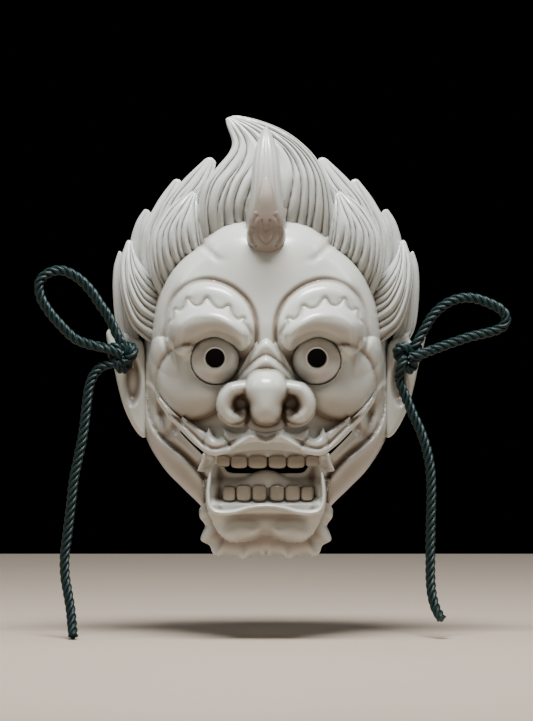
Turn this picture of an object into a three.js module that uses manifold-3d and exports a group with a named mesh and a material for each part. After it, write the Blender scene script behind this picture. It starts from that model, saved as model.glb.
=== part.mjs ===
// A carved demon theatre mask: a hollow face shell with separately carved hair locks, horn, brows,
// eyes, nose, moustache, teeth, tongue, lips, chin frill and ears, and two twisted tie cords.
// Millimetres, +Z up. The mask looks along -Y and its rear rim lies in the plane y = 0.
// The origin is on that plane, midway between the two sight holes.
import * as THREE from "three";
import { mergeVertices } from "three/addons/utils/BufferGeometryUtils.js";
import Module from "manifold-3d";

const wasm = await Module();
wasm.setup();

// Driving dimensions. "Depth" is always the distance in front of the rear rim, so y = -depth.
const FACE_DEPTH = 60; // crown of the plain dome under the carved features
const WALL = 6; // thickness of the shell
const GAP = 0.3; // glue line between neighbouring pieces
const FACE_CENTRE_Z = -5;
const EYE_X = 31.3;
const EYE_Z = -2.2;
const EYE_RADIUS = 15.2;
const PUPIL_RADIUS = 5.9;
const EYE_SEAT = 53; // depth of the eyeball's centre
const CORD_DIAMETER = 6;

// The rear rim's outline, right half from the top down to the chin.
const RIM_HALF = [
  [0, 112], [40, 104], [64, 80], [74, 45], [77, 10], [78, -20], [77, -48],
  [66, -69], [53, -83], [41, -95], [35, -106], [25, -116], [0, -119],
];

// Each finish: its colour and its roughness.
const FINISHES = {
  gofun: [0xd9d6cc, 0.55],
  horn: [0xc4b9ab, 0.5],
  teeth: [0xcfc8ba, 0.45],
  eye: [0xdedbd2, 0.4],
  ring: [0xf2efe8, 0.35],
  gauze: [0x0b0b0c, 0.95],
  cord: [0x0d3a33, 0.6],
};

function finish(kind) {
  const [color, roughness] = FINISHES[kind];
  return new THREE.MeshStandardMaterial({ color, roughness, metalness: 0, name: kind });
}

// ---------------------------------------------------------------- solids and booleans

function solidOf(geometry) {
  const bare = geometry.clone();
  bare.deleteAttribute("normal");
  bare.deleteAttribute("uv");
  const merged = mergeVertices(bare, 1e-4);
  return new wasm.Manifold(
    new wasm.Mesh({
      numProp: 3,
      vertProperties: new Float32Array(merged.attributes.position.array),
      triVerts: new Uint32Array(merged.index.array),
    }),
  );
}

function geometryOf(solid) {
  const mesh = solid.getMesh();
  const geometry = new THREE.BufferGeometry();
  geometry.setAttribute("position", new THREE.BufferAttribute(mesh.vertProperties, 3));
  geometry.setIndex(new THREE.BufferAttribute(mesh.triVerts, 1));
  geometry.computeVertexNormals();
  return geometry;
}

function largestOf(solid) {
  const bodies = solid.decompose();
  return bodies.reduce((best, body) => (body.volume() > best.volume() ? body : best), bodies[0]);
}

// ---------------------------------------------------------------- curves

function closedOutline(points, count) {
  const curve = new THREE.CatmullRomCurve3(
    points.map(([x, z]) => new THREE.Vector3(x, 0, z)), true, "catmullrom", 0.5,
  );
  return Array.from({ length: count }, (_, k) => {
    const p = curve.getPoint(k / count);
    return [p.x, p.z];
  });
}

function mirrored(half) {
  const other = half.slice(1, -1).map(([x, z]) => [-x, z]).reverse();
  return [...half, ...other];
}

// A smooth curve through points of any size, sampled at share t from 0 to 1.
function along(values, t) {
  const last = values.length - 1;
  const at = Math.min(Math.max(t, 0), 1) * last;
  const i = Math.min(Math.floor(at), last - 1);
  const f = at - i;
  const pick = (k) => values[Math.min(Math.max(k, 0), last)];
  const mix = (a, b, c, d) =>
    0.5 * (2 * b + (c - a) * f + (2 * a - 5 * b + 4 * c - d) * f * f + (3 * b - a - 3 * c + d) * f ** 3);
  const [a, b, c, d] = [pick(i - 1), pick(i), pick(i + 1), pick(i + 2)];
  return Array.isArray(b) ? b.map((_, n) => mix(a[n], b[n], c[n], d[n])) : mix(a, b, c, d);
}

// ---------------------------------------------------------------- the face's depth

const RIM = closedOutline(mirrored(RIM_HALF), 48);
const RIM_ANGLES = RIM.map(([x, z]) => Math.atan2(z - FACE_CENTRE_Z, x));

// How far the rim is from the face's centre in the direction of a point.
function rimReach(x, z) {
  const angle = Math.atan2(z - FACE_CENTRE_Z, x);
  for (let k = 0; k < RIM.length; k++) {
    const [a, b] = [RIM[k], RIM[(k + 1) % RIM.length]];
    let [from, to] = [RIM_ANGLES[k], RIM_ANGLES[(k + 1) % RIM.length]];
    if (to > from + Math.PI) to -= 2 * Math.PI;
    const turned = angle > from + 1e-9 ? angle - 2 * Math.PI : angle;
    if (turned <= from && turned >= to - 1e-9) {
      const f = (from - turned) / (from - to);
      return Math.hypot(a[0] + f * (b[0] - a[0]), a[1] + f * (b[1] - a[1]) - FACE_CENTRE_Z);
    }
  }
  return Math.hypot(RIM[0][0], RIM[0][1] - FACE_CENTRE_Z);
}

function dome(x, z) {
  const share = Math.min(1, Math.hypot(x, z - FACE_CENTRE_Z) / rimReach(x, z));
  const down = THREE.MathUtils.smoothstep(-z, 30, 110);
  const power = 2.4 + 2.8 * down;
  return FACE_DEPTH * Math.sqrt(Math.max(0, 1 - share ** power));
}

function bump(x, z, [cx, cz, rx, rz, height]) {
  const r2 = ((Math.abs(x) - cx) / rx) ** 2 + ((z - cz) / rz) ** 2;
  return height * Math.exp(-1.6 * r2);
}

const FACE_BUMPS = [
  [0, -62, 46, 30, 15], // muzzle
  [45, -20, 24, 21, 15], // cheeks
  [0, 66, 30, 20, 7], // middle of the forehead
  [44, 55, 24, 16, 8], // sides of the forehead
  [32, 20, 24, 16, 3], // brow ridge
  [0, -106, 38, 15, 16], // chin
  [16, -106, 15, 11, 6], // its two soft bumps
  [0, -4, 12, 22, 4], // root of the nose
  [74, 2, 9, 16, 10], // cheek bone in front of the ear
];

function faceDepth(x, z) {
  const edge = Math.min(1, dome(x, z) / 22);
  return dome(x, z) + edge * FACE_BUMPS.reduce((sum, b) => sum + bump(x, z, b), 0);
}

// ---------------------------------------------------------------- ways to make a solid

// A closed body from rings of points that all have the same count, with a fan over each end.
function loft(rings) {
  const count = rings[0].length;
  const vertices = rings.flat();
  const middle = (ring) => ring[0].map((_, n) => ring.reduce((s, p) => s + p[n], 0) / count);
  const first = vertices.push(middle(rings[0])) - 1;
  const last = vertices.push(middle(rings.at(-1))) - 1;
  const faces = [];
  for (let i = 0; i + 1 < rings.length; i++) {
    for (let k = 0; k < count; k++) {
      const [a, b] = [i * count + k, i * count + ((k + 1) % count)];
      faces.push([a, b, b + count], [a, b + count, a + count]);
    }
  }
  const top = (rings.length - 1) * count;
  for (let k = 0; k < count; k++) {
    faces.push([first, (k + 1) % count, k]);
    faces.push([last, top + k, top + ((k + 1) % count)]);
  }
  const geometry = new THREE.BufferGeometry();
  geometry.setAttribute("position", new THREE.Float32BufferAttribute(vertices.flat(), 3));
  geometry.setIndex(faces.flat());
  const made = solidOf(geometry);
  if (made.volume() > 0) return made;
  geometry.setIndex(faces.map(([a, b, c]) => [a, c, b]).flat());
  return solidOf(geometry);
}

// A carved lock or strip between two edges, each a list of [x, z] from root to tip.
// depths and thicknesses run from root to tip; hump is how far its middle stands proud.
function strip({ one, two, depths, thick, hump, steps = 9, across = 5 }, side, grow) {
  const rings = [];
  for (let i = 0; i <= steps; i++) {
    const t = i / steps;
    const [ax, az] = along(one, t);
    const [bx, bz] = along(two, t);
    const width = Math.hypot(bx - ax, bz - az) || 1;
    const [ux, uz] = [(bx - ax) / width, (bz - az) / width];
    const front = along(depths, t);
    const back = front - along(thick, t);
    const rise = along(hump, t);
    const ring = [];
    for (let k = 0; k <= across; k++) {
      const f = k / across;
      const shift = f * (width + 2 * grow) - grow;
      const proud = rise * Math.sqrt(Math.max(0, 4 * f * (1 - f)));
      ring.push([side * (ax + ux * shift), -(front + proud + grow), az + uz * shift]);
    }
    for (let k = across; k >= 0; k--) {
      const shift = (k / across) * (width + 2 * grow) - grow;
      ring.push([side * (ax + ux * shift), -(back - grow), az + uz * shift]);
    }
    rings.push(ring);
  }
  return loft(rings);
}

// A round, tapering body along a line of [x, depth, z] points.
function spike({ line, radii, sides = 12, steps = 9 }, side, grow) {
  const path = new THREE.CatmullRomCurve3(line.map(([x, d, z]) => new THREE.Vector3(side * x, -d, z)));
  const across = new THREE.Vector3(1, 0, 0);
  const rings = [];
  for (let i = 0; i <= steps; i++) {
    const t = i / steps;
    const centre = path.getPoint(t);
    const normal = path.getTangent(t).cross(across).normalize();
    const radius = along(radii, t) + grow;
    rings.push(
      Array.from({ length: sides }, (_, k) => {
        const a = (2 * Math.PI * k) / sides;
        const p = centre.clone();
        p.addScaledVector(across, radius * Math.cos(a));
        p.addScaledVector(normal, radius * Math.sin(a));
        return p.toArray();
      }),
    );
  }
  return loft(rings);
}

// A carved relief inside an outline, standing on the face: height at the middle, falling to its edge.
function relief({ outline, centre, height, sink = 4, rings = 3, count = 36 }, side, grow) {
  const edge = closedOutline(outline, count);
  const level = (share, out) => edge.map(([x, z]) => {
    const reach = Math.hypot(x - centre[0], z - centre[1]);
    const scale = (share * (reach + grow)) / reach;
    const [px, pz] = [centre[0] + (x - centre[0]) * scale, centre[1] + (z - centre[1]) * scale];
    return [side * px, -(faceDepth(px, pz) + out), pz];
  });
  const made = [level(0.02, -sink - grow), level(1, -sink - grow)];
  for (let i = 0; i <= rings; i++) {
    const share = 1 - (0.98 * i) / rings;
    made.push(level(share, grow + height * Math.sqrt(1 - share * share * 0.97)));
  }
  return loft(made);
}

function ball([x, depth, z], [rx, ry, rz], grow, detail = 7) {
  const geometry = new THREE.SphereGeometry(1, detail * 2, detail);
  geometry.scale(rx + grow, ry + grow, rz + grow);
  geometry.translate(x, -depth, z);
  return solidOf(geometry);
}

// A round plug along Y between two depths.
function plug([x, z], radius, near, far, sides = 20) {
  const geometry = new THREE.CylinderGeometry(radius, radius, far - near, sides);
  geometry.translate(x, -(near + far) / 2, z);
  return solidOf(geometry);
}

function block([x0, x1], [near, far], [z0, z1]) {
  const geometry = new THREE.BoxGeometry(x1 - x0, far - near, z1 - z0);
  geometry.translate((x0 + x1) / 2, -(near + far) / 2, (z0 + z1) / 2);
  return solidOf(geometry);
}

// ---------------------------------------------------------------- face shell

function faceBody(grow) {
  const [rings, inner] = [9, 5];
  const made = [];
  // A rim point drawn in towards the face's centre, and moved out or in by a distance.
  const at = ([x, z], share, out) => {
    const reach = Math.hypot(x, z - FACE_CENTRE_Z);
    const scale = (share * (reach + out)) / reach;
    return [x * scale, FACE_CENTRE_Z + (z - FACE_CENTRE_Z) * scale];
  };
  for (let i = inner; i >= 0; i--) {
    const share = Math.max(0.02, Math.sin(((inner - i) / inner) * Math.PI * 0.5));
    const hollow = (FACE_DEPTH - WALL - grow) * Math.sqrt(Math.max(0, 1 - share ** 2.6));
    made.push(RIM.map((p) => {
      const [x, z] = at(p, share, -WALL - grow);
      return [x, -hollow, z];
    }));
  }
  for (let i = 0; i <= rings; i++) {
    const share = Math.max(0.02, Math.sin((1 - i / rings) * Math.PI * 0.5));
    made.push(RIM.map((p) => {
      const [x, z] = at(p, share, 0);
      const [px, pz] = at(p, share, grow);
      return [px, i === 0 ? 0 : -faceDepth(x, z) - grow, pz];
    }));
  }
  return loft(made);
}

// The wide mouth between the moustache and the lower lip, cut right through the shell.
const MOUTH_OUTLINE = [
  [0, -57], [20, -59], [34, -63], [34.5, -78], [33, -92], [24, -96], [10, -94.5],
  [0, -92.5], [-10, -94.5], [-24, -96], [-33, -92], [-34.5, -78], [-34, -63], [-20, -59],
];
// The narrow grinning slit beyond the right corner of the mouth.
const SLIT_OUTLINE = [[38.5, -61.4], [53.5, -47.2], [51.5, -45.6], [37, -59.2]];

// A straight cutter along Y through an outline, made smaller by a distance.
function through(outline, shrink) {
  const mean = (n) => outline.reduce((sum, p) => sum + p[n], 0) / outline.length;
  const [cx, cz] = [mean(0), mean(1)];
  const shape = new THREE.Shape(outline.map(([x, z]) => {
    const reach = Math.hypot(x - cx, z - cz);
    const scale = Math.max(0.1, (reach - shrink) / reach);
    return new THREE.Vector2(cx + (x - cx) * scale, cz + (z - cz) * scale);
  }));
  const geometry = new THREE.ExtrudeGeometry(shape, { depth: 90, bevelEnabled: false });
  geometry.rotateX(Math.PI / 2);
  geometry.translate(0, -10, 0);
  return solidOf(geometry);
}

function faceShell(grow) {
  const slit = (side) => SLIT_OUTLINE.map(([x, z]) => [side * x, z]);
  const cutters = [closedOutline(MOUTH_OUTLINE, 28), slit(1), slit(-1)].map((line) => through(line, grow));
  for (const side of [-1, 1]) {
    cutters.push(plug([side * EYE_X, EYE_Z], EYE_RADIUS + 1 - grow, EYE_SEAT - 13 + grow, 100));
    cutters.push(plug([side * EYE_X, EYE_Z], PUPIL_RADIUS + 3 - grow, 0, 100));
  }
  return cutters.reduce((left, cutter) => left.subtract(cutter), faceBody(grow));
}

// ---------------------------------------------------------------- eyes

const eyeBall = (side, grow) => {
  const whole = ball([side * EYE_X, EYE_SEAT, EYE_Z], [EYE_RADIUS, EYE_RADIUS, EYE_RADIUS], grow, 9);
  return whole.intersect(plug([side * EYE_X, EYE_Z], EYE_RADIUS + 2, EYE_SEAT - 2 - grow, EYE_SEAT + 20));
};

function eye(side) {
  const cup = ball([side * EYE_X, EYE_SEAT, EYE_Z], [12, 12, 12], 0, 7);
  const pupil = plug([side * EYE_X, EYE_Z], PUPIL_RADIUS + 1.7 + GAP, EYE_SEAT, EYE_SEAT + 20);
  return eyeBall(side, 0).subtract(cup).subtract(pupil);
}

function pupilRing(side) {
  const centre = [side * EYE_X, EYE_Z];
  const outer = plug(centre, PUPIL_RADIUS + 1.7, EYE_SEAT + 10.2, EYE_SEAT + 14.6);
  return outer.subtract(plug(centre, PUPIL_RADIUS, EYE_SEAT, EYE_SEAT + 20));
}

const gauze = (side) => plug([side * EYE_X, EYE_Z], 6.8, EYE_SEAT + 9.1, EYE_SEAT + 9.7);

// ---------------------------------------------------------------- nose, brows, horn

function nose(grow) {
  const parts = [
    ball([0, 80, -21], [12.5, 15, 14], grow),
    ball([0, 74, -33], [10, 12, 9.5], grow, 6),
    ball([17, 70, -26], [11, 10, 11], grow, 6),
    ball([-17, 70, -26], [11, 10, 11], grow, 6),
    ball([22, 68, -33], [8.5, 9, 8], grow, 6),
    ball([-22, 68, -33], [8.5, 9, 8], grow, 6),
    ball([0, 70, -6], [14, 10, 8], grow, 6),
    ball([0, 64, 3], [15, 9, 8], grow, 6),
  ];
  return parts.reduce((sum, part) => sum.add(part));
}

const BROW = {
  outline: [
    [11.5, 8], [12.5, 18], [13.5, 23.5], [18, 23], [21, 28], [24, 31.5], [29, 31], [35.5, 36.3],
    [40, 31.8], [48, 36], [51, 30.5], [57, 29.5], [58.5, 22], [62, 18.5], [59.5, 10], [57, 2],
    [52, 0.5], [46, 6], [38, 11.8], [30, 12.8], [22, 9.5], [16, 5],
  ],
  centre: [37, 20],
  height: 9,
  count: 44,
};

const HORN = {
  line: [[0, 42, 64], [0, 58, 69], [0, 72, 80], [0, 80, 95], [0, 83, 109]],
  radii: [11.5, 12.4, 10.5, 6.5, 1.6],
};
const HORN_SHEATH = {
  line: [[0, 38, 72], [0, 50, 88], [0, 55, 106], [0, 53, 126], [0, 47, 143]],
  radii: [12.5, 12.6, 10.5, 7.5, 2],
};

// ---------------------------------------------------------------- hair locks

const CROWN_LOCK = {
  one: [
    [-37, 68], [-40, 84], [-39.5, 100], [-34.6, 111.5],
    [-27.7, 121.4], [-22.4, 131], [-23, 143], [-22.5, 150.5],
  ],
  two: [
    [37.5, 68], [38.5, 80], [38.3, 94], [35.3, 109.5],
    [29.8, 124.9], [14, 139], [-6, 147.2], [-20, 151],
  ],
  depths: [46, 47, 47, 45, 43, 41, 39, 38],
  thick: [42, 42, 40, 36, 30, 24, 17, 8],
  hump: [8, 9, 9, 8, 7, 5, 3, 0.5],
  steps: 12,
  across: 8,
};
// One side's locks, from the front of the head to the back; the other side mirrors them.
const SIDE_LOCKS = {
  front_lock: {
    one: [[37.5, 68], [38.3, 80], [40.3, 93.8], [42.4, 103]],
    two: [[64.5, 46], [70, 64], [63.9, 83], [44.4, 103]],
    depths: [42, 43, 41, 39], thick: [30, 28, 22, 6], hump: [5, 7, 5, 0.5], across: 6,
  },
  side_lock: {
    one: [[65.5, 42], [71, 52], [77, 64], [84.5, 75.5]],
    two: [[75, 8], [91, 28], [92.5, 56], [87.5, 75.5]],
    depths: [26, 28, 25, 23], thick: [22, 24, 20, 6], hump: [4, 7, 5, 0.5], across: 6,
  },
  rear_lock: {
    one: [[63, 44], [68, 60], [68, 78], [56, 97], [40, 113], [32.4, 126.5]],
    two: [[68, 42], [76, 58], [78, 78], [68, 98], [52, 112.5], [34.6, 127]],
    depths: [30, 32, 33, 33, 33, 32], thick: [26, 28, 28, 24, 18, 6], hump: [2, 3, 4, 4, 3, 0.5],
  },
  outer_rear_lock: {
    one: [[68, 42], [74, 58], [77, 76], [68, 94], [53, 113.5]],
    two: [[71, 41], [82, 56], [84, 76], [74, 96], [55.5, 114]],
    depths: [22, 24, 25, 26, 25], thick: [18, 20, 20, 18, 6], hump: [2, 3, 3, 3, 0.5],
  },
  curl: {
    one: [[74, 62], [78, 74], [76, 86], [73.6, 94.5]],
    two: [[88, 60], [89, 74], [85, 87], [76.5, 95.5]],
    depths: [14, 16, 18, 20], thick: [10, 12, 12, 7], hump: [1.5, 2, 2, 0.5],
  },
  outer_lock: {
    one: [[80, 12], [88, 26], [91, 44], [92, 67.5]],
    two: [[87, 9], [96, 24], [98, 44], [94, 68]],
    depths: [13, 15, 16, 17], thick: [9, 11, 11, 6], hump: [2, 3, 3, 0.5],
  },
};

// ---------------------------------------------------------------- mouth

const MOUSTACHE_HALF = {
  one: [
    [0, -47], [6, -46.3], [10.3, -42.8], [14, -48.5], [20.5, -49], [27.3, -44.6], [31, -50],
    [35.3, -44.6], [39, -50.5], [46, -45], [53.7, -37.2], [57, -41], [63, -31], [68.7, -21], [71, -26],
    [76.5, -17],
  ],
  two: [
    [0, -51], [5.5, -50], [10.5, -48.8], [15, -52], [20, -55.5], [26, -59], [31, -60.7],
    [35.5, -61], [40.3, -59], [47, -53.5], [53.5, -47.5], [59, -43], [64.5, -37.5], [70, -30], [74, -25],
    [78.5, -17.5],
  ],
  depths: [77, 77, 77, 77, 76, 75, 74, 72.5, 71, 68, 64, 60, 56, 50, 44, 36],
  thick: [13, 13, 13, 13, 13, 13, 13, 13, 13, 13, 13, 13, 13, 12, 10, 8],
  hump: [3, 3, 3, 3, 3, 3, 3, 3, 3, 3, 3, 2.5, 2.5, 2, 2, 1],
  steps: 22,
  across: 3,
};
const CORNER_FANG = {
  one: [[33.5, -60.5], [33.5, -64.5], [34.2, -68.8]],
  two: [[37.5, -60], [39.5, -64.5], [42.5, -70.5]],
  depths: [70, 71, 69.5], thick: [12, 11, 9], hump: [1.5, 2, 1], steps: 4, across: 3,
};
const LOWER_LIP = {
  line: [
    [34.6, 66, -72], [35.4, 66, -82], [34.6, 67, -91], [29, 68.5, -95.9], [16, 71, -95.8], [0, 73, -92.6],
  ],
  radius: 2.1,
};
const TONGUE = {
  one: [[-21, -77.2], [-14, -74.6], [-7, -71.4], [0, -70], [7, -71.4], [14, -74.6], [21, -77.2]],
  two: [[-21, -79.4], [-14, -79.4], [-7, -79.4], [0, -79.4], [7, -79.4], [14, -79.4], [21, -79.4]],
  depths: [58, 60, 62, 62.5, 62, 60, 58], thick: [8, 8, 8, 8, 8, 8, 8], hump: [1, 1.5, 2, 2.5, 2, 1.5, 1],
  steps: 12,
};

// The dental arch: teeth and gums bend back towards the corners.
const archDepth = (x) => 8 * (x / 33) ** 2;

function archBar([z0, z1], [back, front], half, grow) {
  const steps = 10;
  const rings = [];
  for (let i = 0; i <= steps; i++) {
    const x = (half + grow) * (-1 + (2 * i) / steps);
    const bend = archDepth(x);
    rings.push([
      [x, -(front - bend + grow), z0 - grow], [x, -(front - bend + grow), z1 + grow],
      [x, -(back - bend - grow), z1 + grow], [x, -(back - bend - grow), z0 - grow],
    ]);
  }
  return loft(rings);
}

const GUMS = {
  upper_gum: { span: [-66, -57.5], depths: [55, 65], half: 33.5 },
  lower_gum: { span: [-95.5, -72.4], depths: [48, 57], half: 32.5 },
};

// One tooth: a rounded block whose front face bulges.
function tooth(x, width, [z0, z1], front) {
  const [w, z, h] = [width / 2, (z0 + z1) / 2, (z1 - z0) / 2];
  const slices = [[0, 0.95], [1.6, 1], [3.6, 0.97], [4.8, 0.78], [5.2, 0.45]];
  const base = front - archDepth(x) - 5.2;
  const rings = slices.map(([out, share]) =>
    Array.from({ length: 12 }, (_, k) => {
      const a = (2 * Math.PI * (k + 0.5)) / 12;
      const square = 1 / Math.max(Math.abs(Math.cos(a)), Math.abs(Math.sin(a))) ** 0.55;
      const [px, pz] = [x + w * share * Math.cos(a) * square, z + h * share * Math.sin(a) * square];
      return [px, -(base + out), pz];
    }),
  );
  return loft(rings);
}

const TEETH = {
  upper: { centres: [5.8, 17, 27.4], widths: [11.4, 10.8, 9.6], span: [-68.4, -60.8], front: 70.5 },
  lower: { centres: [4.9, 14.4, 23.5], widths: [9, 8.8, 8.2], span: [-88.6, -79.8], front: 67 },
};

// ---------------------------------------------------------------- chin frill and ears

const CHIN_FRILL = {
  one: [
    [38, -90], [36, -97], [34, -104], [31, -110], [26, -115], [20, -116], [12, -115],
    [0, -112], [-12, -115], [-20, -116], [-26, -115], [-31, -110], [-34, -104], [-36, -97], [-38, -90],
  ],
  two: [
    [43, -94.5], [42, -101], [39, -105], [42, -113.5], [37, -118], [32.5, -124.5], [20, -123],
    [14.5, -126.4], [0, -121.5], [-14.5, -126.4], [-20, -123], [-32.5, -124.5], [-37, -118], [-42, -113.5],
    [-39, -105], [-42, -101], [-43, -94.5],
  ],
  depths: [30, 32, 36, 40, 44, 46, 47, 48, 47, 46, 44, 40, 36, 32, 30],
  thick: [12, 14, 16, 18, 20, 20, 20, 20, 20, 20, 20, 18, 16, 14, 12],
  hump: [2, 2, 2, 2, 2, 2, 2, 2, 2, 2, 2, 2, 2, 2, 2],
  steps: 32,
  across: 3,
};
const EAR = {
  one: [[78, -49], [77.5, -32], [78, -14], [80, 2], [86, 13], [97.5, 18]],
  two: [[81, -49.5], [90, -36], [95, -22], [98, -4], [102, 10], [103.5, 17.5]],
  depths: [17, 18, 19, 20, 20, 18],
  thick: [8, 12, 14, 14, 12, 5],
  hump: [0.5, 0.5, 0.5, 0.5, 0.5, 0.5],
};
const EAR_HOLE = { at: [89.5, 1], radius: 4 };

function ear(side, grow) {
  const body = strip(EAR, side, grow);
  if (grow) return body;
  const hollow = ball([side * 86.5, 24, -17], [6, 9, 15], 0, 6);
  const hole = plug([side * EAR_HOLE.at[0], EAR_HOLE.at[1]], EAR_HOLE.radius, 0, 40, 16);
  return body.subtract(hollow).subtract(hole);
}

// ---------------------------------------------------------------- cords

// Each tie cord comes out of its ear, is knotted there with one standing loop, and hangs free.
// Points are [x, depth, z].
const CORDS = {
  left: {
    knot: [-89.8, 31, 0.8],
    loop: [
      [-94, 32, 15.5], [-98.5, 32, 25], [-104, 32, 33], [-109.3, 32, 41], [-117, 32.5, 49], [-126.6, 33, 54],
      [-135, 33, 53.2], [-141.5, 33, 47.5], [-141.3, 33, 38.5], [-136.5, 33, 29.5], [-129, 33, 20.5],
      [-120, 33, 11.8], [-111, 33, 8], [-104, 33, 6.5],
    ],
    tail: [
      [-102.6, 30, -5.6], [-107.5, 30, -10.5], [-110.8, 31, -19], [-112.4, 32, -31], [-114.4, 33, -48],
      [-117.2, 34, -62], [-120, 35, -76], [-121.8, 36, -92], [-123.8, 37, -109], [-125.6, 38.5, -124],
      [-125.4, 40, -136], [-123.4, 43, -147], [-121.6, 46, -157], [-120.4, 50, -166], [-119.4, 55, -173],
    ],
  },
  right: {
    knot: [89.2, 31, 0.4],
    loop: [
      [103.5, 33, 4.2], [111, 33, 7], [119, 33, 9.8], [127.3, 33, 12.6], [136, 33, 14.6], [143.5, 33, 16.6],
      [149, 33, 20], [150.2, 33, 25.5], [146, 33, 30.4], [139, 33, 34], [131, 33, 36.6], [122.8, 33, 37],
      [115.5, 32.5, 34.8], [109, 32, 30.6], [103.8, 32, 25], [100, 32, 18.8], [97.6, 32, 14.6],
    ],
    tail: [
      [83.4, 31, -13.4], [85.4, 31, -20], [88.4, 31, -27], [92, 31.5, -36], [96.6, 32, -46], [100.6, 33, -58],
      [102.8, 34, -70], [103.4, 35, -84], [103.1, 36, -98], [102.8, 37, -112], [102.6, 38.5, -126],
      [102.6, 40, -138], [103.4, 43, -148], [105.6, 46, -156.5], [109, 51, -162.5],
    ],
  },
};
const KNOT_RADII = [12, 9, 11.6];

function tube(points, radius, steps, sides = 8) {
  const path = new THREE.CatmullRomCurve3(points.map(([x, d, z]) => new THREE.Vector3(x, -d, z)));
  const section = new THREE.Shape(
    Array.from({ length: sides }, (_, k) => {
      const a = (2 * Math.PI * k) / sides;
      return new THREE.Vector2(radius * Math.cos(a), radius * Math.sin(a));
    }),
  );
  return solidOf(new THREE.ExtrudeGeometry(section, { steps, bevelEnabled: false, extrudePath: path }));
}

// ---------------------------------------------------------------- assembly

const SIDES = [["left", -1], ["right", 1]];
const mask = new THREE.Group();
const kept = []; // the grown copies of the pieces made so far, which later pieces are cut by

function add(name, kind, solid, grown) {
  const box = (s) => s.boundingBox();
  const mine = box(solid);
  const near = kept.filter((other) => {
    const its = box(other);
    return [0, 1, 2].every((n) => its.min[n] <= mine.max[n] && its.max[n] >= mine.min[n]);
  });
  const cut = near.length ? largestOf(near.reduce((left, other) => left.subtract(other), solid)) : solid;
  if (grown) kept.push(grown);
  const mesh = new THREE.Mesh(geometryOf(cut), finish(kind));
  mesh.name = name;
  mask.add(mesh);
}

function addPair(name, kind, make) {
  for (const [word, side] of SIDES) {
    add(`${word}_${name}`, kind, make(side, 0), make(side, GAP));
  }
}

add("face_shell", "gofun", faceShell(0), faceShell(GAP));

for (const [word, side] of SIDES) {
  add(`${word}_eye`, "eye", eye(side));
  add(`${word}_pupil_ring`, "ring", pupilRing(side));
  add(`${word}_eye_gauze`, "gauze", gauze(side));
}
for (const [, side] of SIDES) kept.push(eyeBall(side, GAP)); // the brows and the nose fit round the eyes

add("nose", "gofun", nose(0), nose(GAP));
addPair("brow", "gofun", (side, grow) => relief(BROW, side, grow));
add("horn", "horn", spike(HORN, 1, 0), spike(HORN, 1, GAP));
add("horn_sheath", "gofun", spike(HORN_SHEATH, 1, 0), spike(HORN_SHEATH, 1, GAP));

add("crown_lock", "gofun", strip(CROWN_LOCK, 1, 0), strip(CROWN_LOCK, 1, GAP));
for (const [name, lock] of Object.entries(SIDE_LOCKS)) {
  addPair(name, "gofun", (side, grow) => strip(lock, side, grow));
}

addPair("moustache", "gofun", (side, grow) => {
  const half = strip(MOUSTACHE_HALF, side, grow);
  const from = side > 0 ? [GAP / 2 - grow, 90] : [-90, grow - GAP / 2];
  return half.intersect(block(from, [0, 100], [-80, 0]));
});
addPair("corner_fang", "teeth", (side, grow) => strip(CORNER_FANG, side, grow));
for (const [name, { span, depths, half }] of Object.entries(GUMS)) {
  add(name, "gofun", archBar(span, depths, half, 0), archBar(span, depths, half, GAP));
}
add("tongue", "gofun", strip(TONGUE, 1, 0), strip(TONGUE, 1, GAP));

for (const [row, { centres, widths, span, front }] of Object.entries(TEETH)) {
  for (const [word, side] of SIDES) {
    centres.forEach((x, k) => {
      add(`${row}_${word}_tooth_${k + 1}`, "teeth", tooth(side * x, widths[k] - GAP, span, front));
    });
  }
}
const lipLine = [...LOWER_LIP.line.map(([x, d, z]) => [-x, d, z]), ...LOWER_LIP.line.slice(0, -1).reverse()];
add("lower_lip", "gofun", tube(lipLine, LOWER_LIP.radius, 26), tube(lipLine, LOWER_LIP.radius + GAP, 26));
add("chin_frill", "gofun", strip(CHIN_FRILL, 1, 0), strip(CHIN_FRILL, 1, GAP));
addPair("ear", "gofun", ear);

const cordRadius = CORD_DIAMETER / 2;
for (const [word, { knot, loop, tail }] of Object.entries(CORDS)) {
  add(`${word}_cord_knot`, "cord", ball(knot, KNOT_RADII, 0), ball(knot, KNOT_RADII, GAP));
  add(`${word}_cord_loop`, "cord", tube(loop, cordRadius, 16), tube(loop, cordRadius + GAP, 16));
  add(`${word}_cord_tail`, "cord", tube(tail, cordRadius, 14));
}

export default mask;
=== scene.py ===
import math

import bmesh
import bpy
import numpy as np
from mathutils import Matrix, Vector
from mathutils.geometry import delaunay_2d_cdt


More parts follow.
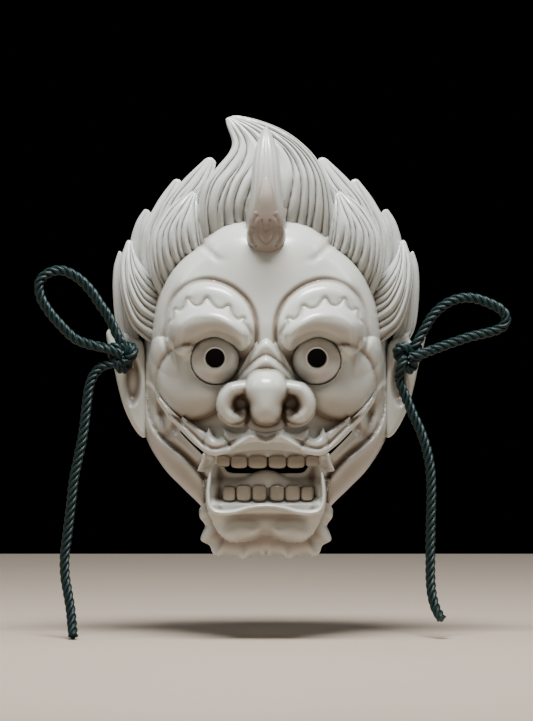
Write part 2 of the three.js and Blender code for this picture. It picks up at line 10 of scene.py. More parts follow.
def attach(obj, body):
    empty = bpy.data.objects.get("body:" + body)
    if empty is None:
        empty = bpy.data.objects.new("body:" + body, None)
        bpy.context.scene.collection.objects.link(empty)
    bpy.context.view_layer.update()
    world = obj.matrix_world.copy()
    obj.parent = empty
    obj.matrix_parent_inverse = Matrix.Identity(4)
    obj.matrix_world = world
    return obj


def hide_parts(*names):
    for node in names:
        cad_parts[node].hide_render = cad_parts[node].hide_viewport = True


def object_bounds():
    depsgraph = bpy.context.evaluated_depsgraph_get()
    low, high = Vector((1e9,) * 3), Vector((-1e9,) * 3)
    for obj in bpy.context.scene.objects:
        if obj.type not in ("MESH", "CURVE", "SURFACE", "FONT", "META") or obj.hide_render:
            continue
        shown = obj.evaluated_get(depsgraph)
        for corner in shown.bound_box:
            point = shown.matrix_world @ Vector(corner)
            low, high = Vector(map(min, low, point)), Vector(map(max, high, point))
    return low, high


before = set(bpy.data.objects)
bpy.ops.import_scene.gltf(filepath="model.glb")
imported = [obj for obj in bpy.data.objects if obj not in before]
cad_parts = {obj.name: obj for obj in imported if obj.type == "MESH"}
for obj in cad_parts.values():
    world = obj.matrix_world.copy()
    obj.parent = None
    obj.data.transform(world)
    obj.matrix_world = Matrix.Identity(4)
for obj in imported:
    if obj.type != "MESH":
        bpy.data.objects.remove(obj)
cad_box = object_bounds()
MM = 0.001  # the carver's outlines below are in millimetres, Blender's meshes in metres
SIDES = (("left", -1), ("right", 1))

# ---------------------------------------------------------------------------------- studio
# The mask hangs over a pale table top, far in front of a dark curtain. A cool softbox above lights the
# carving, two rims and a weak fill open the shadows, and a warm light comes up off the table.
AIM = Vector((0.0003, 0.0, -0.0022))
CAMERA_DISTANCE = 2.2
LENS = 172.9
SENSOR = 36.0
FLOOR_Z = cad_box[0][2] - 0.0005


def start_material(name, roughness, **inputs):
    """A new material's nodes, links and shader, with uniform values set on the shader."""
    material = bpy.data.materials.new(name)
    material.use_nodes = True
    nodes, links = material.node_tree.nodes, material.node_tree.links
    shader = nodes["Principled BSDF"]
    shader.inputs["Roughness"].default_value = roughness
    for socket, value in inputs.items():
        shader.inputs[socket.replace("_", " ")].default_value = value
    return material, nodes, links, shader


def noise_in_place(nodes, links, scale, detail=2.0, stretch=None):
    """Noise fixed to the object itself, drawn out along an axis where a stretch is given."""
    place = nodes.new("ShaderNodeTexCoord").outputs["Object"]
    if stretch:
        mapping = nodes.new("ShaderNodeMapping")
        mapping.inputs["Scale"].default_value = stretch
        links.new(place, mapping.inputs["Vector"])
        place = mapping.outputs["Vector"]
    noise = nodes.new("ShaderNodeTexNoise")
    noise.inputs["Scale"].default_value = scale
    noise.inputs["Detail"].default_value = detail
    links.new(place, noise.inputs["Vector"])
    return noise.outputs["Fac"]


def between(nodes, links, factor, low, high, span=(0.0, 1.0)):
    """A colour that goes from low to high as the factor crosses a span."""
    ramp = nodes.new("ShaderNodeValToRGB")
    for stop, at, colour in zip(ramp.color_ramp.elements, span, (low, high)):
        stop.position = at
        stop.color = (*colour, 1)
    links.new(factor, ramp.inputs["Fac"])
    return ramp.outputs["Color"]


def grain_bump(nodes, links, shader, height, strength, distance):
    bump = nodes.new("ShaderNodeBump")
    bump.inputs["Strength"].default_value = strength
    bump.inputs["Distance"].default_value = distance
    links.new(height, bump.inputs["Height"])
    links.new(bump.outputs["Normal"], shader.inputs["Normal"])


def studio_material(name, colour, roughness, mottle, gloss=0.3):
    material, nodes, links, shader = start_material(name, roughness, Specular_IOR_Level=gloss)
    low, high = ([c * (1 + turn * mottle) for c in colour] for turn in (-1, 1))
    cloud = noise_in_place(nodes, links, 6.0)
    links.new(between(nodes, links, cloud, low, high), shader.inputs["Base Color"])
    return material


def placed(name, data):
    """A new object in the scene."""
    thing = bpy.data.objects.new(name, data)
    bpy.context.scene.collection.objects.link(thing)
    return thing


def studio_plane(name, corners, material):
    mesh = bpy.data.meshes.new(name)
    mesh.from_pydata(corners, [], [(0, 1, 2, 3)])
    mesh.materials.append(material)
    placed(name, mesh)


def softbox(name, place, aim, size, power, colour):
    light = bpy.data.lights.new(name, "AREA")
    light.shape = "RECTANGLE"
    light.size, light.size_y = size
    light.energy = power
    light.color = colour
    lamp = placed(name, light)
    lamp.location = place
    lamp.rotation_euler = (Vector(aim) - Vector(place)).to_track_quat("-Z", "Y").to_euler()


studio_plane(
    "table_top",
    [(-3, -3, FLOOR_Z), (3, -3, FLOOR_Z), (3, 0.9, FLOOR_Z), (-3, 0.9, FLOOR_Z)],
    studio_material("pale_table", (0.44, 0.36, 0.285), 0.75, 0.04),
)
studio_plane(
    "curtain",
    [(-9, 7, -4), (9, 7, -4), (9, 7, 8), (-9, 7, 8)],
    studio_material("dark_curtain", (0.0030, 0.0024, 0.0021), 0.95, 0.10, 0.0),
)
softbox("top", (0.0, -0.38, 0.95), (0, -0.03, 0.0), (0.55, 0.25), 31.0, (0.95, 0.98, 1.0))
for word, side in SIDES:
    softbox(f"{word}_rim", (0.80 * side, -0.10, 0.55), (0, 0, 0.03), (0.2, 0.5), 1.8, (0.95, 0.98, 1.0))
softbox("front_fill", (0.0, -1.9, 0.6), (0, 0, 0), (0.9, 0.7), 1.0, (1.0, 0.98, 0.95))
softbox("bounce", (0.0, -0.5, -0.165), (0, 0.0, 0.0), (0.8, 0.3), 0.12, (1.0, 0.70, 0.46))

world = bpy.data.worlds.new("studio_air")
world.use_nodes = True
world.node_tree.nodes["Background"].inputs["Color"].default_value = (0.80, 0.86, 0.95, 1)
world.node_tree.nodes["Background"].inputs["Strength"].default_value = 0.03
bpy.context.scene.world = world

camera = placed("camera", bpy.data.cameras.new("camera"))
camera.data.lens = LENS
camera.data.sensor_width = SENSOR
camera.data.sensor_fit = "AUTO"
camera.location = AIM + Vector((0, -CAMERA_DISTANCE, 0))
camera.rotation_euler = (math.pi / 2, 0, 0)
bpy.context.scene.camera = camera

# ---------------------------------------------------------------------------------- tie cords
# A dark green silk cord of four strands, twisted to the right, tied through the top of each ear:
# an overhand knot, one stiff standing loop, and one free tail that hangs down to a cut end.
CORD_DIAMETER = 0.0064
LAY_PITCH = 0.019  # one full turn of the strands
STRANDS = 4
YARNS = 44  # counted round the cord
YARN_SLANT = -5200.0  # radians of their pattern in a metre of cord
CORD_STEP = 0.0008
# Points are x, depth in front of the rear rim, z, from the knot outwards.
CORD_ROUTES = {
    "left_cord_loop": [
        (-94, 32, 15.5), (-98.5, 32, 25), (-104, 32, 33), (-109.3, 32, 41), (-117, 32.5, 49),
        (-126.6, 33, 54), (-135, 33, 53.2), (-141.5, 33, 47.5), (-141.3, 33, 38.5), (-136.5, 33, 29.5),
        (-129, 33, 20.5), (-120, 33, 11.8), (-111, 33, 8), (-104, 33, 6.5),
    ],
    "left_cord_tail": [
        (-102.6, 30, -5.6), (-107.5, 30, -10.5), (-110.8, 31, -19), (-112.4, 32, -31), (-114.4, 33, -48),
        (-117.2, 34, -62), (-120, 35, -76), (-121.8, 36, -92), (-123.8, 37, -109), (-125.6, 38.5, -124),
        (-125.4, 40, -136), (-123.4, 43, -147), (-121.6, 46, -157), (-120.4, 50, -166), (-119.4, 55, -173),
    ],
    "right_cord_loop": [
        (103.5, 33, 4.2), (111, 33, 7), (119, 33, 9.8), (127.3, 33, 12.6), (136, 33, 14.6),
        (143.5, 33, 16.6), (149, 33, 20), (150.2, 33, 25.5), (146, 33, 30.4), (139, 33, 34),
        (131, 33, 36.6), (122.8, 33, 37), (115.5, 32.5, 34.8), (109, 32, 30.6), (103.8, 32, 25),
        (100, 32, 18.8), (97.6, 32, 14.6),
    ],
    "right_cord_tail": [
        (83.4, 31, -13.4), (85.4, 31, -20), (88.4, 31, -27), (92, 31.5, -36), (96.6, 32, -46),
        (100.6, 33, -58), (102.8, 34, -70), (103.4, 35, -84), (103.1, 36, -98), (102.8, 37, -112),
        (102.6, 38.5, -126), (102.6, 40, -138), (103.4, 43, -148), (105.6, 46, -156.5),
        (109, 51, -162.5),
    ],
}
KNOT_CENTRES = {"left_cord_knot": (-89.8, 31, 0.8), "right_cord_knot": (89.2, 31, 0.4)}
KNOT_SCALE = 2.55
# Short runs inside each knot, from its middle to where the loop and the tail leave it.
KNOT_LEADS = {
    "left_cord_knot": [
        [(-88, 31, 4), (-91, 33, 10), (-94, 32, 15.5)], [(-90, 35, 1), (-97, 35, 4.6), (-104, 32, 6.5)],
        [(-88, 34, -3), (-95, 33, -3.6), (-102.6, 30, -5.6)],
    ],
    "right_cord_knot": [
        [(90, 31, 3), (94.5, 33, 9), (97.6, 32, 14.6)], [(90, 35, 0), (96.5, 35.5, 1.6), (103.5, 33, 4.2)],
        [(88, 34, 0), (84.4, 34, -6), (83.4, 31, -13.4)],
    ],
}


def through_points(points, per_span, closed=False):
    """A smooth Catmull-Rom line through points of any number of coordinates."""
    p = np.asarray(points, float)
    n = len(p)
    spans = n if closed else n - 1
    out = []
    for i in range(spans):
        if closed:
            a, b, c, d = (p[(i + k) % n] for k in (-1, 0, 1, 2))
        else:
            a, b, c, d = (p[min(max(i + k, 0), n - 1)] for k in (-1, 0, 1, 2))
        f = np.arange(per_span)[:, None] / per_span
        bend, twist = 2 * a - 5 * b + 4 * c - d, 3 * b - a - 3 * c + d
        out.append(0.5 * (2 * b + (c - a) * f + bend * f**2 + twist * f**3))
    if not closed:
        out.append(p[-1:])
    return np.concatenate(out)


def group_socket(tree, label, kind, value=None, out="INPUT"):
    socket = tree.interface.new_socket(label, in_out=out, socket_type=kind)
    if value is not None:
        socket.default_value = value
    return socket.identifier


def maths(tree, operation, *values):
    node = tree.nodes.new("ShaderNodeMath")
    node.operation = operation
    for k, value in enumerate(values):
        if isinstance(value, (int, float)):
            node.inputs[k].default_value = value
        else:
            tree.links.new(value, node.inputs[k])
    return node.outputs[0]


def finish_shape(tree, shape, given, made):
    """The end of a node tree: its instances made real, and the given finish put on them."""
    link = tree.links.new
    real, finish = (tree.nodes.new(f"GeometryNode{step}") for step in ("RealizeInstances", "SetMaterial"))
    link(shape.outputs[0], real.inputs[0])
    link(real.outputs[0], finish.inputs["Geometry"])
    link(given.outputs["Finish"], finish.inputs["Material"])
    link(finish.outputs[0], made.inputs[0])


def twisted_cord_tree():
    """Sweeps a section of four round strands along a line, turning it once in each lay pitch."""
    tree = bpy.data.node_groups.new("twisted_cord", "GeometryNodeTree")
    keys = {"Line": group_socket(tree, "Line", "NodeSocketGeometry")}
    for label, value in (("Radius", CORD_DIAMETER / 2), ("Lay pitch", LAY_PITCH), ("Step", CORD_STEP)):
        keys[label] = group_socket(tree, label, "NodeSocketFloat", value)
    keys["Finish"] = group_socket(tree, "Finish", "NodeSocketMaterial")
    group_socket(tree, "Cord", "NodeSocketGeometry", out="OUTPUT")
    new, link = tree.nodes.new, tree.links.new
    given, made = new("NodeGroupInput"), new("NodeGroupOutput")

    section = new("GeometryNodeCurvePrimitiveCircle")
    section.inputs["Resolution"].default_value = 36
    section.inputs["Radius"].default_value = 1.0
    turn = new("GeometryNodeSplineParameter")
    lobes = maths(tree, "COSINE", maths(tree, "MULTIPLY", turn.outputs["Factor"], STRANDS * math.pi))
    lobes = maths(tree, "POWER", maths(tree, "ABSOLUTE", lobes), 0.5)
    reach = maths(tree, "MULTIPLY", maths(tree, "MULTIPLY_ADD", lobes, 0.586, 0.414), given.outputs["Radius"])
    place = new("GeometryNodeInputPosition")
    scaled = new("ShaderNodeVectorMath")
    scaled.operation = "SCALE"
    link(place.outputs[0], scaled.inputs[0])
    link(reach, scaled.inputs["Scale"])
    shaped = new("GeometryNodeSetPosition")
    link(section.outputs["Curve"], shaped.inputs["Geometry"])
    link(scaled.outputs[0], shaped.inputs["Position"])
    around = new("GeometryNodeStoreNamedAttribute")
    around.inputs["Name"].default_value = "around"
    link(shaped.outputs[0], around.inputs["Geometry"])
    link(turn.outputs["Factor"], around.inputs["Value"])

    evened = new("GeometryNodeResampleCurve")
    evened.mode = "LENGTH"
    link(given.outputs["Line"], evened.inputs["Curve"])
    link(given.outputs["Step"], evened.inputs["Length"])
    along = new("GeometryNodeStoreNamedAttribute")
    along.inputs["Name"].default_value = "along"
    link(evened.outputs[0], along.inputs["Geometry"])
    link(turn.outputs["Length"], along.inputs["Value"])
    twist = new("GeometryNodeSetCurveTilt")
    link(along.outputs[0], twist.inputs["Curve"])
    turned = maths(tree, "DIVIDE", turn.outputs["Length"], given.outputs["Lay pitch"])
    link(maths(tree, "MULTIPLY", turned, 2 * math.pi), twist.inputs["Tilt"])
    swept = new("GeometryNodeCurveToMesh")
    swept.inputs["Fill Caps"].default_value = True
    link(twist.outputs[0], swept.inputs["Curve"])
    link(around.outputs[0], swept.inputs["Profile Curve"])
    smooth = new("GeometryNodeSetShadeSmooth")
    link(swept.outputs[0], smooth.inputs[0])
    finish_shape(tree, smooth, given, made)
    return tree, keys


def silk_cord_material():
    """Dyed silk: the yarns show as fine slanting lines on each strand, with painted shade darkening it down
    in the lay.
    """
    material, nodes, links, shader = start_material(
        "dark_green_silk", 0.40, Sheen_Weight=0.04, Sheen_Roughness=0.35, Sheen_Tint=(0.35, 0.75, 0.70, 1),
        Specular_IOR_Level=0.30,
    )
    tree = material.node_tree
    along, around = nodes.new("ShaderNodeAttribute"), nodes.new("ShaderNodeAttribute")
    along.attribute_name, around.attribute_name = "along", "around"
    yarns = maths(tree, "MULTIPLY", around.outputs["Fac"], 2 * math.pi * YARNS)
    yarns = maths(tree, "SINE", maths(tree, "MULTIPLY_ADD", along.outputs["Fac"], YARN_SLANT, yarns))
    # Painted shade: the tone falls towards the grooves between the four strands.
    turn = maths(tree, "MULTIPLY", around.outputs["Fac"], STRANDS * math.pi)
    tone = maths(tree, "MULTIPLY_ADD", yarns, 0.12, maths(tree, "ABSOLUTE", maths(tree, "COSINE", turn)))
    tone = maths(tree, "MULTIPLY_ADD", noise_in_place(nodes, links, 900.0), 0.35, tone)
    dark, light = (0.0006, 0.0022, 0.0024), (0.0030, 0.0200, 0.0195)
    links.new(between(nodes, links, tone, dark, light, (0.25, 1.15)), shader.inputs["Base Color"])
    grain_bump(nodes, links, shader, tone, 0.55, 0.00022)
    return material


cord_tree, cord_keys = twisted_cord_tree()
cord_material = silk_cord_material()


def grown_by_nodes(name, data, tree, inputs):
    """The plain mesh that a node tree makes from some data, as a piece of its own."""
    carrier = placed(name + "_carrier", data)
    modifier = carrier.modifiers.new("nodes", "NODES")
    modifier.node_group = tree
    for key, value in inputs.items():
        modifier[key] = value
    mesh = bpy.data.meshes.new_from_object(carrier.evaluated_get(bpy.context.evaluated_depsgraph_get()))
    mesh.name = name
    carrier.modifiers.remove(modifier)
    bpy.data.objects.remove(carrier)
    return placed(name, mesh)


def stand_for(piece, node, material=None):
    if material:
        piece.data.materials.clear()
        piece.data.materials.append(material)
    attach(piece, "root")
    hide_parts(node)


def twisted_cord(name, line):
    """One piece of cord along a line of points in metres, as a plain mesh."""
    curve = bpy.data.curves.new(name + "_line", "CURVE")
    curve.dimensions = "3D"
    spline = curve.splines.new("POLY")
    spline.points.add(len(line) - 1)
    for point, place in zip(spline.points, line):
        point.co = (*place, 1)
    return grown_by_nodes(name, curve, cord_tree, {cord_keys["Finish"]: cord_material})


def metres(points):
    """Carver's points of x, depth, z in millimetres to Blender's x, y, z."""
    p = np.asarray(points, float)
    return np.stack([p[:, 0], -p[:, 1], p[:, 2]], 1) * MM


def knot_line(centre):
    """The line of a tight overhand knot, which is a trefoil that leads in and out at its ends."""
    t = np.linspace(0.12, 2 * math.pi - 0.12, 160)
    flat = np.stack([np.sin(t) + 2 * np.sin(2 * t), 1.15 * np.sin(3 * t), np.cos(t) - 2 * np.cos(2 * t)], 1)
    return metres(np.asarray(centre) + flat * np.array([1.0, 0.95, 1.12]) * KNOT_SCALE)


def joined(pieces):
    """Several pieces in one object, under the first one's name."""
    mesh = bmesh.new()
    for piece in pieces:
        mesh.from_mesh(piece.data)
    mesh.to_mesh(pieces[0].data)
    mesh.free()
    for piece in pieces[1:]:
        bpy.data.objects.remove(piece)
    return pieces[0]


knots = {}
for name, centre in KNOT_CENTRES.items():
    runs = [twisted_cord("visual_" + name, knot_line(centre))]
    for lead in KNOT_LEADS[name]:
        runs.append(twisted_cord(name + "_lead", metres(through_points(lead, 8))))
    knots[name] = joined(runs)
    stand_for(knots[name], name)

for name, route in CORD_ROUTES.items():
    line = metres(through_points(route, 10))
    piece = twisted_cord("visual_" + name, line)
    stand_for(piece, name)

# ---------------------------------------------------------------------------------- face shell
# The main block of the mask: joined cypress, carved to forehead lobes, brow arches, cheeks, jaw,
# lip-corner folds and chin, hollowed from behind to a 6 mm wall and coated with shell-lime white.
FACE_CENTRE_Z = -5.0
FACE_DEPTH = 60.0
WALL = 6.0
SHELL_STEP = 0.85  # spacing of the carved surface's points
EYE_X, EYE_Z, EYE_RADIUS = 31.3, -2.2, 15.0
RIM_HALF = [
    (0, 112), (40, 104), (64, 80), (74, 45), (77, 10), (78, -20), (77, -48),
    (66, -69), (53, -83), (41, -95), (35, -106), (25, -116), (0, -119),
]
FOREHEAD = [
    (0, 86), (16, 85), (27, 81.5), (35.6, 75), (39.2, 70.6), (44.6, 66.6), (50.6, 62.6), (57.5, 56),
    (63.2, 48.5), (68, 39), (71, 29), (72.5, 14), (70, -4), (48, -16), (0, -20),
]
BROW_ARCH = [
    (6.5, 17), (8, 26), (12, 34), (18, 40), (24, 43.8), (31, 46.3), (37.5, 47), (44.5, 45.6), (51, 42),
    (56.5, 36.5), (60.5, 28.5), (62.5, 19), (62.5, 9), (58, -2), (50, -14), (31, -20), (14, -12),
    (8, 2),
]
BROW = [
    (9.8, 8), (9.6, 14), (13.0, 20.2), (13.2, 24.0), (17.2, 22.8), (20.6, 25.6), (22.6, 31.8),
    (26.8, 29.6), (31.4, 30.6), (36.2, 36.6), (39.8, 32.0), (44.0, 31.6), (48.4, 36.2), (50.4, 30.6),
    (53.0, 28.4), (56.6, 29.4), (57.6, 23.4), (60.4, 20.2), (60.8, 12), (58.8, 5), (52.5, 0.4),
    (46.6, 2.6), (41.8, 8.8), (31.6, 12.2), (21.8, 8.4), (15.2, 3.6),
]
CHEEK_BONE = [
    (57, 7), (60, 10.8), (64.5, 12.4), (70, 11.2), (74, 4), (76, -8), (74, -22), (66, -30), (57, -20),
    (54, -8),
]
CHIN = [
    (0, -112.2), (7, -113.6), (15, -115.2), (23, -114.6), (29.4, -109.6), (33.6, -102), (37.0, -94),
    (37.6, -86), (36, -72), (0, -72),
]
JAW = [
    (77, -19), (74.6, -30), (73.2, -38), (68.7, -47), (61, -54.5), (53, -60.5), (46, -67), (40.5, -73.6),
    (37.8, -80), (37.6, -90), (40, -99), (60, -110), (100, -80), (100, -30),
]
CHIN_BUMP = [
    (4.5, -105.5), (8.5, -102.2), (14, -100.9), (20, -101.6), (25.5, -105), (30, -111), (22, -117),
    (10, -115), (5, -111),
]
MOUTH_OPENING = [
    (0, -57), (20, -59), (34, -63), (34.5, -78), (33.4, -91), (24, -94.6), (10, -92.4),
    (0, -90.5), (-10, -92.4), (-24, -94.6), (-33.4, -91), (-34.5, -78), (-34, -63), (-20, -59),
]
SLIT = [
    (37.6, -59.8), (44.6, -54.2), (50.6, -48.4), (53.6, -45.4), (52.6, -47.8), (46.6, -54), (41, -59.4),
    (38.4, -61.6),
]


def smoothstep(value, low, high):
    t = np.clip((value - low) / (high - low), 0, 1)
    return t * t * (3 - 2 * t)


def mirrored(half):
    return list(half) + [(-x, z) for x, z in reversed(half[1:-1])]


def flipped(outline, side):
    return [(side * x, z) for x, z in outline]


def outline_line(points, per_span=7):
    return through_points(points, per_span, closed=True)


def scalloped_line(points, tips, per_span=9, tip_size=0.75):
    """A closed smooth line with a small rounded point at each of the places in tips."""
    p = np.asarray(points, float)
    out = []
    for i, point in enumerate(p):
        if i in tips:
            for other in (p[i - 1], p[(i + 1) % len(p)]):
                out.append(point + tip_size * (other - point) / np.linalg.norm(other - point))
        else:
            out.append(point)
    return through_points(out, per_span, closed=True)


def line_distance(x, z, line, closed=False):
    """How far each point is from a line, and how far along it the nearest place is, from 0 to 1."""
    line = np.asarray(line, float)
    ends = np.roll(line, -1, 0) if closed else line[1:]
    starts = line if closed else line[:-1]
    best = np.full(x.shape, 1e9)
    share = np.zeros(x.shape)
    for k, ((ax, az), (bx, bz)) in enumerate(zip(starts, ends)):
        ux, uz = bx - ax, bz - az
        length2 = ux * ux + uz * uz
        if length2 < 1e-12:
            continue
        t = np.clip(((x - ax) * ux + (z - az) * uz) / length2, 0, 1)
        gap = np.hypot(x - ax - t * ux, z - az - t * uz)
        nearer = gap < best
        best = np.where(nearer, gap, best)
        share = np.where(nearer, (k + t) / len(starts), share)
    return best, share


def curve_distance(x, z, points, per_span=5):
    return line_distance(x, z, through_points(points, per_span))


def inside(x, z, line):
    """Whether each point is inside a closed line."""
    line = np.asarray(line, float)
    result = np.zeros(x.shape, bool)
    for (ax, az), (bx, bz) in zip(line, np.roll(line, -1, 0)):
        if az == bz:
            continue
        crosses = (az > z) != (bz > z)
        result ^= crosses & (x < (bx - ax) * (z - az) / (bz - az) + ax)
    return result


def inward(x, z, line):
    """Distance to a closed line, positive inside it."""
    gap, _ = line_distance(x, z, line, closed=True)
    return np.where(inside(x, z, line), gap, -gap)


def rounded(distance, width):
    """A quarter-round edge: 0 outside, rising to 1 at a width inside."""
    t = np.clip(distance / width, 0, 1)
    return np.sqrt(np.clip(1 - (1 - t) ** 2, 0, 1))


def blob(x, z, centre, radii, turn=0.0):
    """A soft bump of height 1."""
    c, s = math.cos(turn), math.sin(turn)
    dx, dz = x - centre[0], z - centre[1]
    return np.exp(-1.6 * (((c * dx + s * dz) / radii[0]) ** 2 + ((c * dz - s * dx) / radii[1]) ** 2))


def bell(gap, width):
    """A rounded ridge or groove: 1 along its own line, fading out over a width to each side."""
    return np.exp(-((gap / width) ** 2))


def soft_max(a, b, softness=1.2):
    top = np.maximum(a, b)
    return top + softness * np.log(np.exp((a - top) / softness) + np.exp((b - top) / softness))


rim = outline_line(mirrored(RIM_HALF), 12)
rim_angles = np.arctan2(rim[:, 1] - FACE_CENTRE_Z, rim[:, 0])
rim_reach = np.hypot(rim[:, 0], rim[:, 1] - FACE_CENTRE_Z)
rim_order = np.argsort(rim_angles)


def rim_share(x, z, inset=0.0):
    """0 at the face's middle, 1 at the rim."""
    reach = np.interp(
        np.arctan2(z - FACE_CENTRE_Z, x), rim_angles[rim_order], rim_reach[rim_order], period=2 * math.pi
    )
    return np.minimum(1, np.hypot(x, z - FACE_CENTRE_Z) / (reach - inset))


def dome(x, z):
    power = 2.4 + 2.8 * smoothstep(-z, 30, 110)
    return FACE_DEPTH * np.sqrt(np.clip(1 - rim_share(x, z) ** power, 0, 1))


BROW_TIPS = {3, 6, 9, 12, 15, 17}
brow_edge = scalloped_line(BROW, BROW_TIPS, tip_size=1.3)


def socket_drop(x, z):
    socket = np.hypot(np.abs(x) - EYE_X, z - EYE_Z)
    return 11.0 * smoothstep(-socket, -EYE_RADIUS - 0.1, -EYE_RADIUS + 0.7)


def face_depth(x, z):
    """The carved front of the face block: depth in front of the rear rim, in millimetres."""
    ax = np.abs(x)
    base = dome(x, z)
    edge = np.minimum(1, base / 22)
    d = 5.5 * blob(ax, z, (0, 62), (34, 24)) + 4 * blob(ax, z, (0, -2), (10, 18))
    # forehead: a middle cap between two side lobes, parted by a crease that curls in from the hairline
    hairline = inward(ax, z, outline_line(mirrored(FOREHEAD)))
    d += 12.0 * rounded(hairline, 12) * smoothstep(z, -16, 22)
    d += 3.0 * blob(ax, z, (50, 44), (17, 13), 0.7) + 1.6 * blob(ax, z, (14, 70), (22, 12))
    crease, t = curve_distance(ax, z, [(46, 77), (37.5, 67.5), (33.5, 63.6), (29.5, 60.6), (25.6, 59.8)])
    d -= 3.0 * bell(crease, 2.3) * (1 - 0.9 * t)
    # the arched pad over each eye, with a crease cut along its upper edge
    arch = inward(ax, z, outline_line(BROW_ARCH))
    arch_fade = smoothstep(z, -4, 14)
    d += 9.0 * rounded(arch, 8.0) * arch_fade
    d -= 1.5 * bell(arch + 0.9, 1.6) * arch_fade
    round_brow = inward(ax, z, brow_edge)
    d -= 1.3 * bell(round_brow + 0.3, 1.1) * smoothstep(z, 8, 16)
    # cheeks, and the cheek bone that stands up in front of the ear
    wide, low = (ax - 46) / 22.5, (z + 18.5) / np.where(z < -18.5, 21.0, 26.0)
    ball = np.clip(1 - (wide**2 + low**2), 0, 1)
    d += 17.0 * ball**0.55
    bone = inward(ax, z, outline_line(CHEEK_BONE))
    d += 5.0 * rounded(bone, 7) * smoothstep(z, -16, 6) * edge
    d += 8 * blob(ax, z, (70, -8), (9, 20)) * edge
    # the muzzle behind nose, moustache and mouth
    d += 15 * blob(ax, z, (0, -58), (44, 28))
    # lower lid folds beside the nose
    lid, _ = line_distance(ax, z, [(22.5, -14.5), (18.5, -11.5), (15.6, -9)])
    d += 2.6 * bell(lid, 2.0)
    # jaw, folded over the corner of the lip; the leaf-shaped edge above it and the hollow between
    jaw = inward(ax, z, outline_line(JAW))
    d += 6.0 * rounded(jaw, 5.5) * edge * (0.45 + 0.55 * smoothstep(-jaw, -26, -4)) * smoothstep(-z, 17, 28)
    d -= 1.8 * bell(jaw + 0.7, 1.2) * edge
    leaf, t = curve_distance(ax, z, [(74.4, -17.8), (71.5, -20.5), (68.6, -27), (69.5, -34)])
    d += 3.6 * bell(leaf, 1.9) * (1 - 0.7 * t)
    d -= 6.5 * blob(ax, z, (65.8, -35), (4.6, 11.5), -0.35) + 3.0 * blob(ax, z, (58.5, -45.5), (3.6, 9), 0.75)
    fold, t = curve_distance(ax, z, [(61.5, -38), (60.5, -44), (57, -50), (50.5, -56), (43, -64)])
    d += 2.4 * bell(fold, 2.0) * (1 - 0.6 * t)
    # chin: a full block under the lip, with two soft bumps
    chin = 54 + 9.5 * rounded(inward(ax, z, outline_line(mirrored(CHIN))), 8) * smoothstep(-z, 76, 92)
    base = np.where(z < -74, soft_max(base, np.where(chin > 54, chin, 0), 1.5), base)
    d += 1.6 * blob(ax, z, (0, -95), (30, 6)) - 1.4 * blob(ax, z, (0, -99), (32, 2.6))
    bump = inward(ax, z, outline_line(CHIN_BUMP))
    d += 3.2 * smoothstep(bump, -2.5, 5.5)
    # a soft dip round each eye, then the socket itself
    d -= 1.6 * bell(np.hypot(ax - EYE_X, z - EYE_Z) - EYE_RADIUS, 2.6)
    d -= socket_drop(x, z)
    return base + d


def hollow_depth(x, z):
    """The hollowed back, with the shallow facets that a wide gouge leaves."""
    share = rim_share(x, z, WALL)
    smooth = (FACE_DEPTH - WALL) * np.sqrt(np.clip(1 - share**2.6, 0, 1))
    gouge = np.abs(np.sin(x * 0.42 + 1.3 * np.sin(z * 0.05)))
    gouge = gouge * np.abs(np.sin(z * 0.16 + 0.8 * np.sin(x * 0.11)))
    return smooth + 0.55 * gouge * smoothstep(1 - share, 0.02, 0.12)


def level(depth):
    """A flat back, or front, at one depth."""
    return lambda x, z: 0 * x + depth


CLEAR_OF_HOLLOW = 2.5  # wood kept between an added piece's back and the hollow


def seated(depth):
    """A back for an added piece: as deep as asked, but never through the hollowed wall."""
    return lambda x, z: np.maximum(depth(x, z), hollow_depth(x, z) + CLEAR_OF_HOLLOW)


THINNEST = 0.4  # of any carved block, front to back


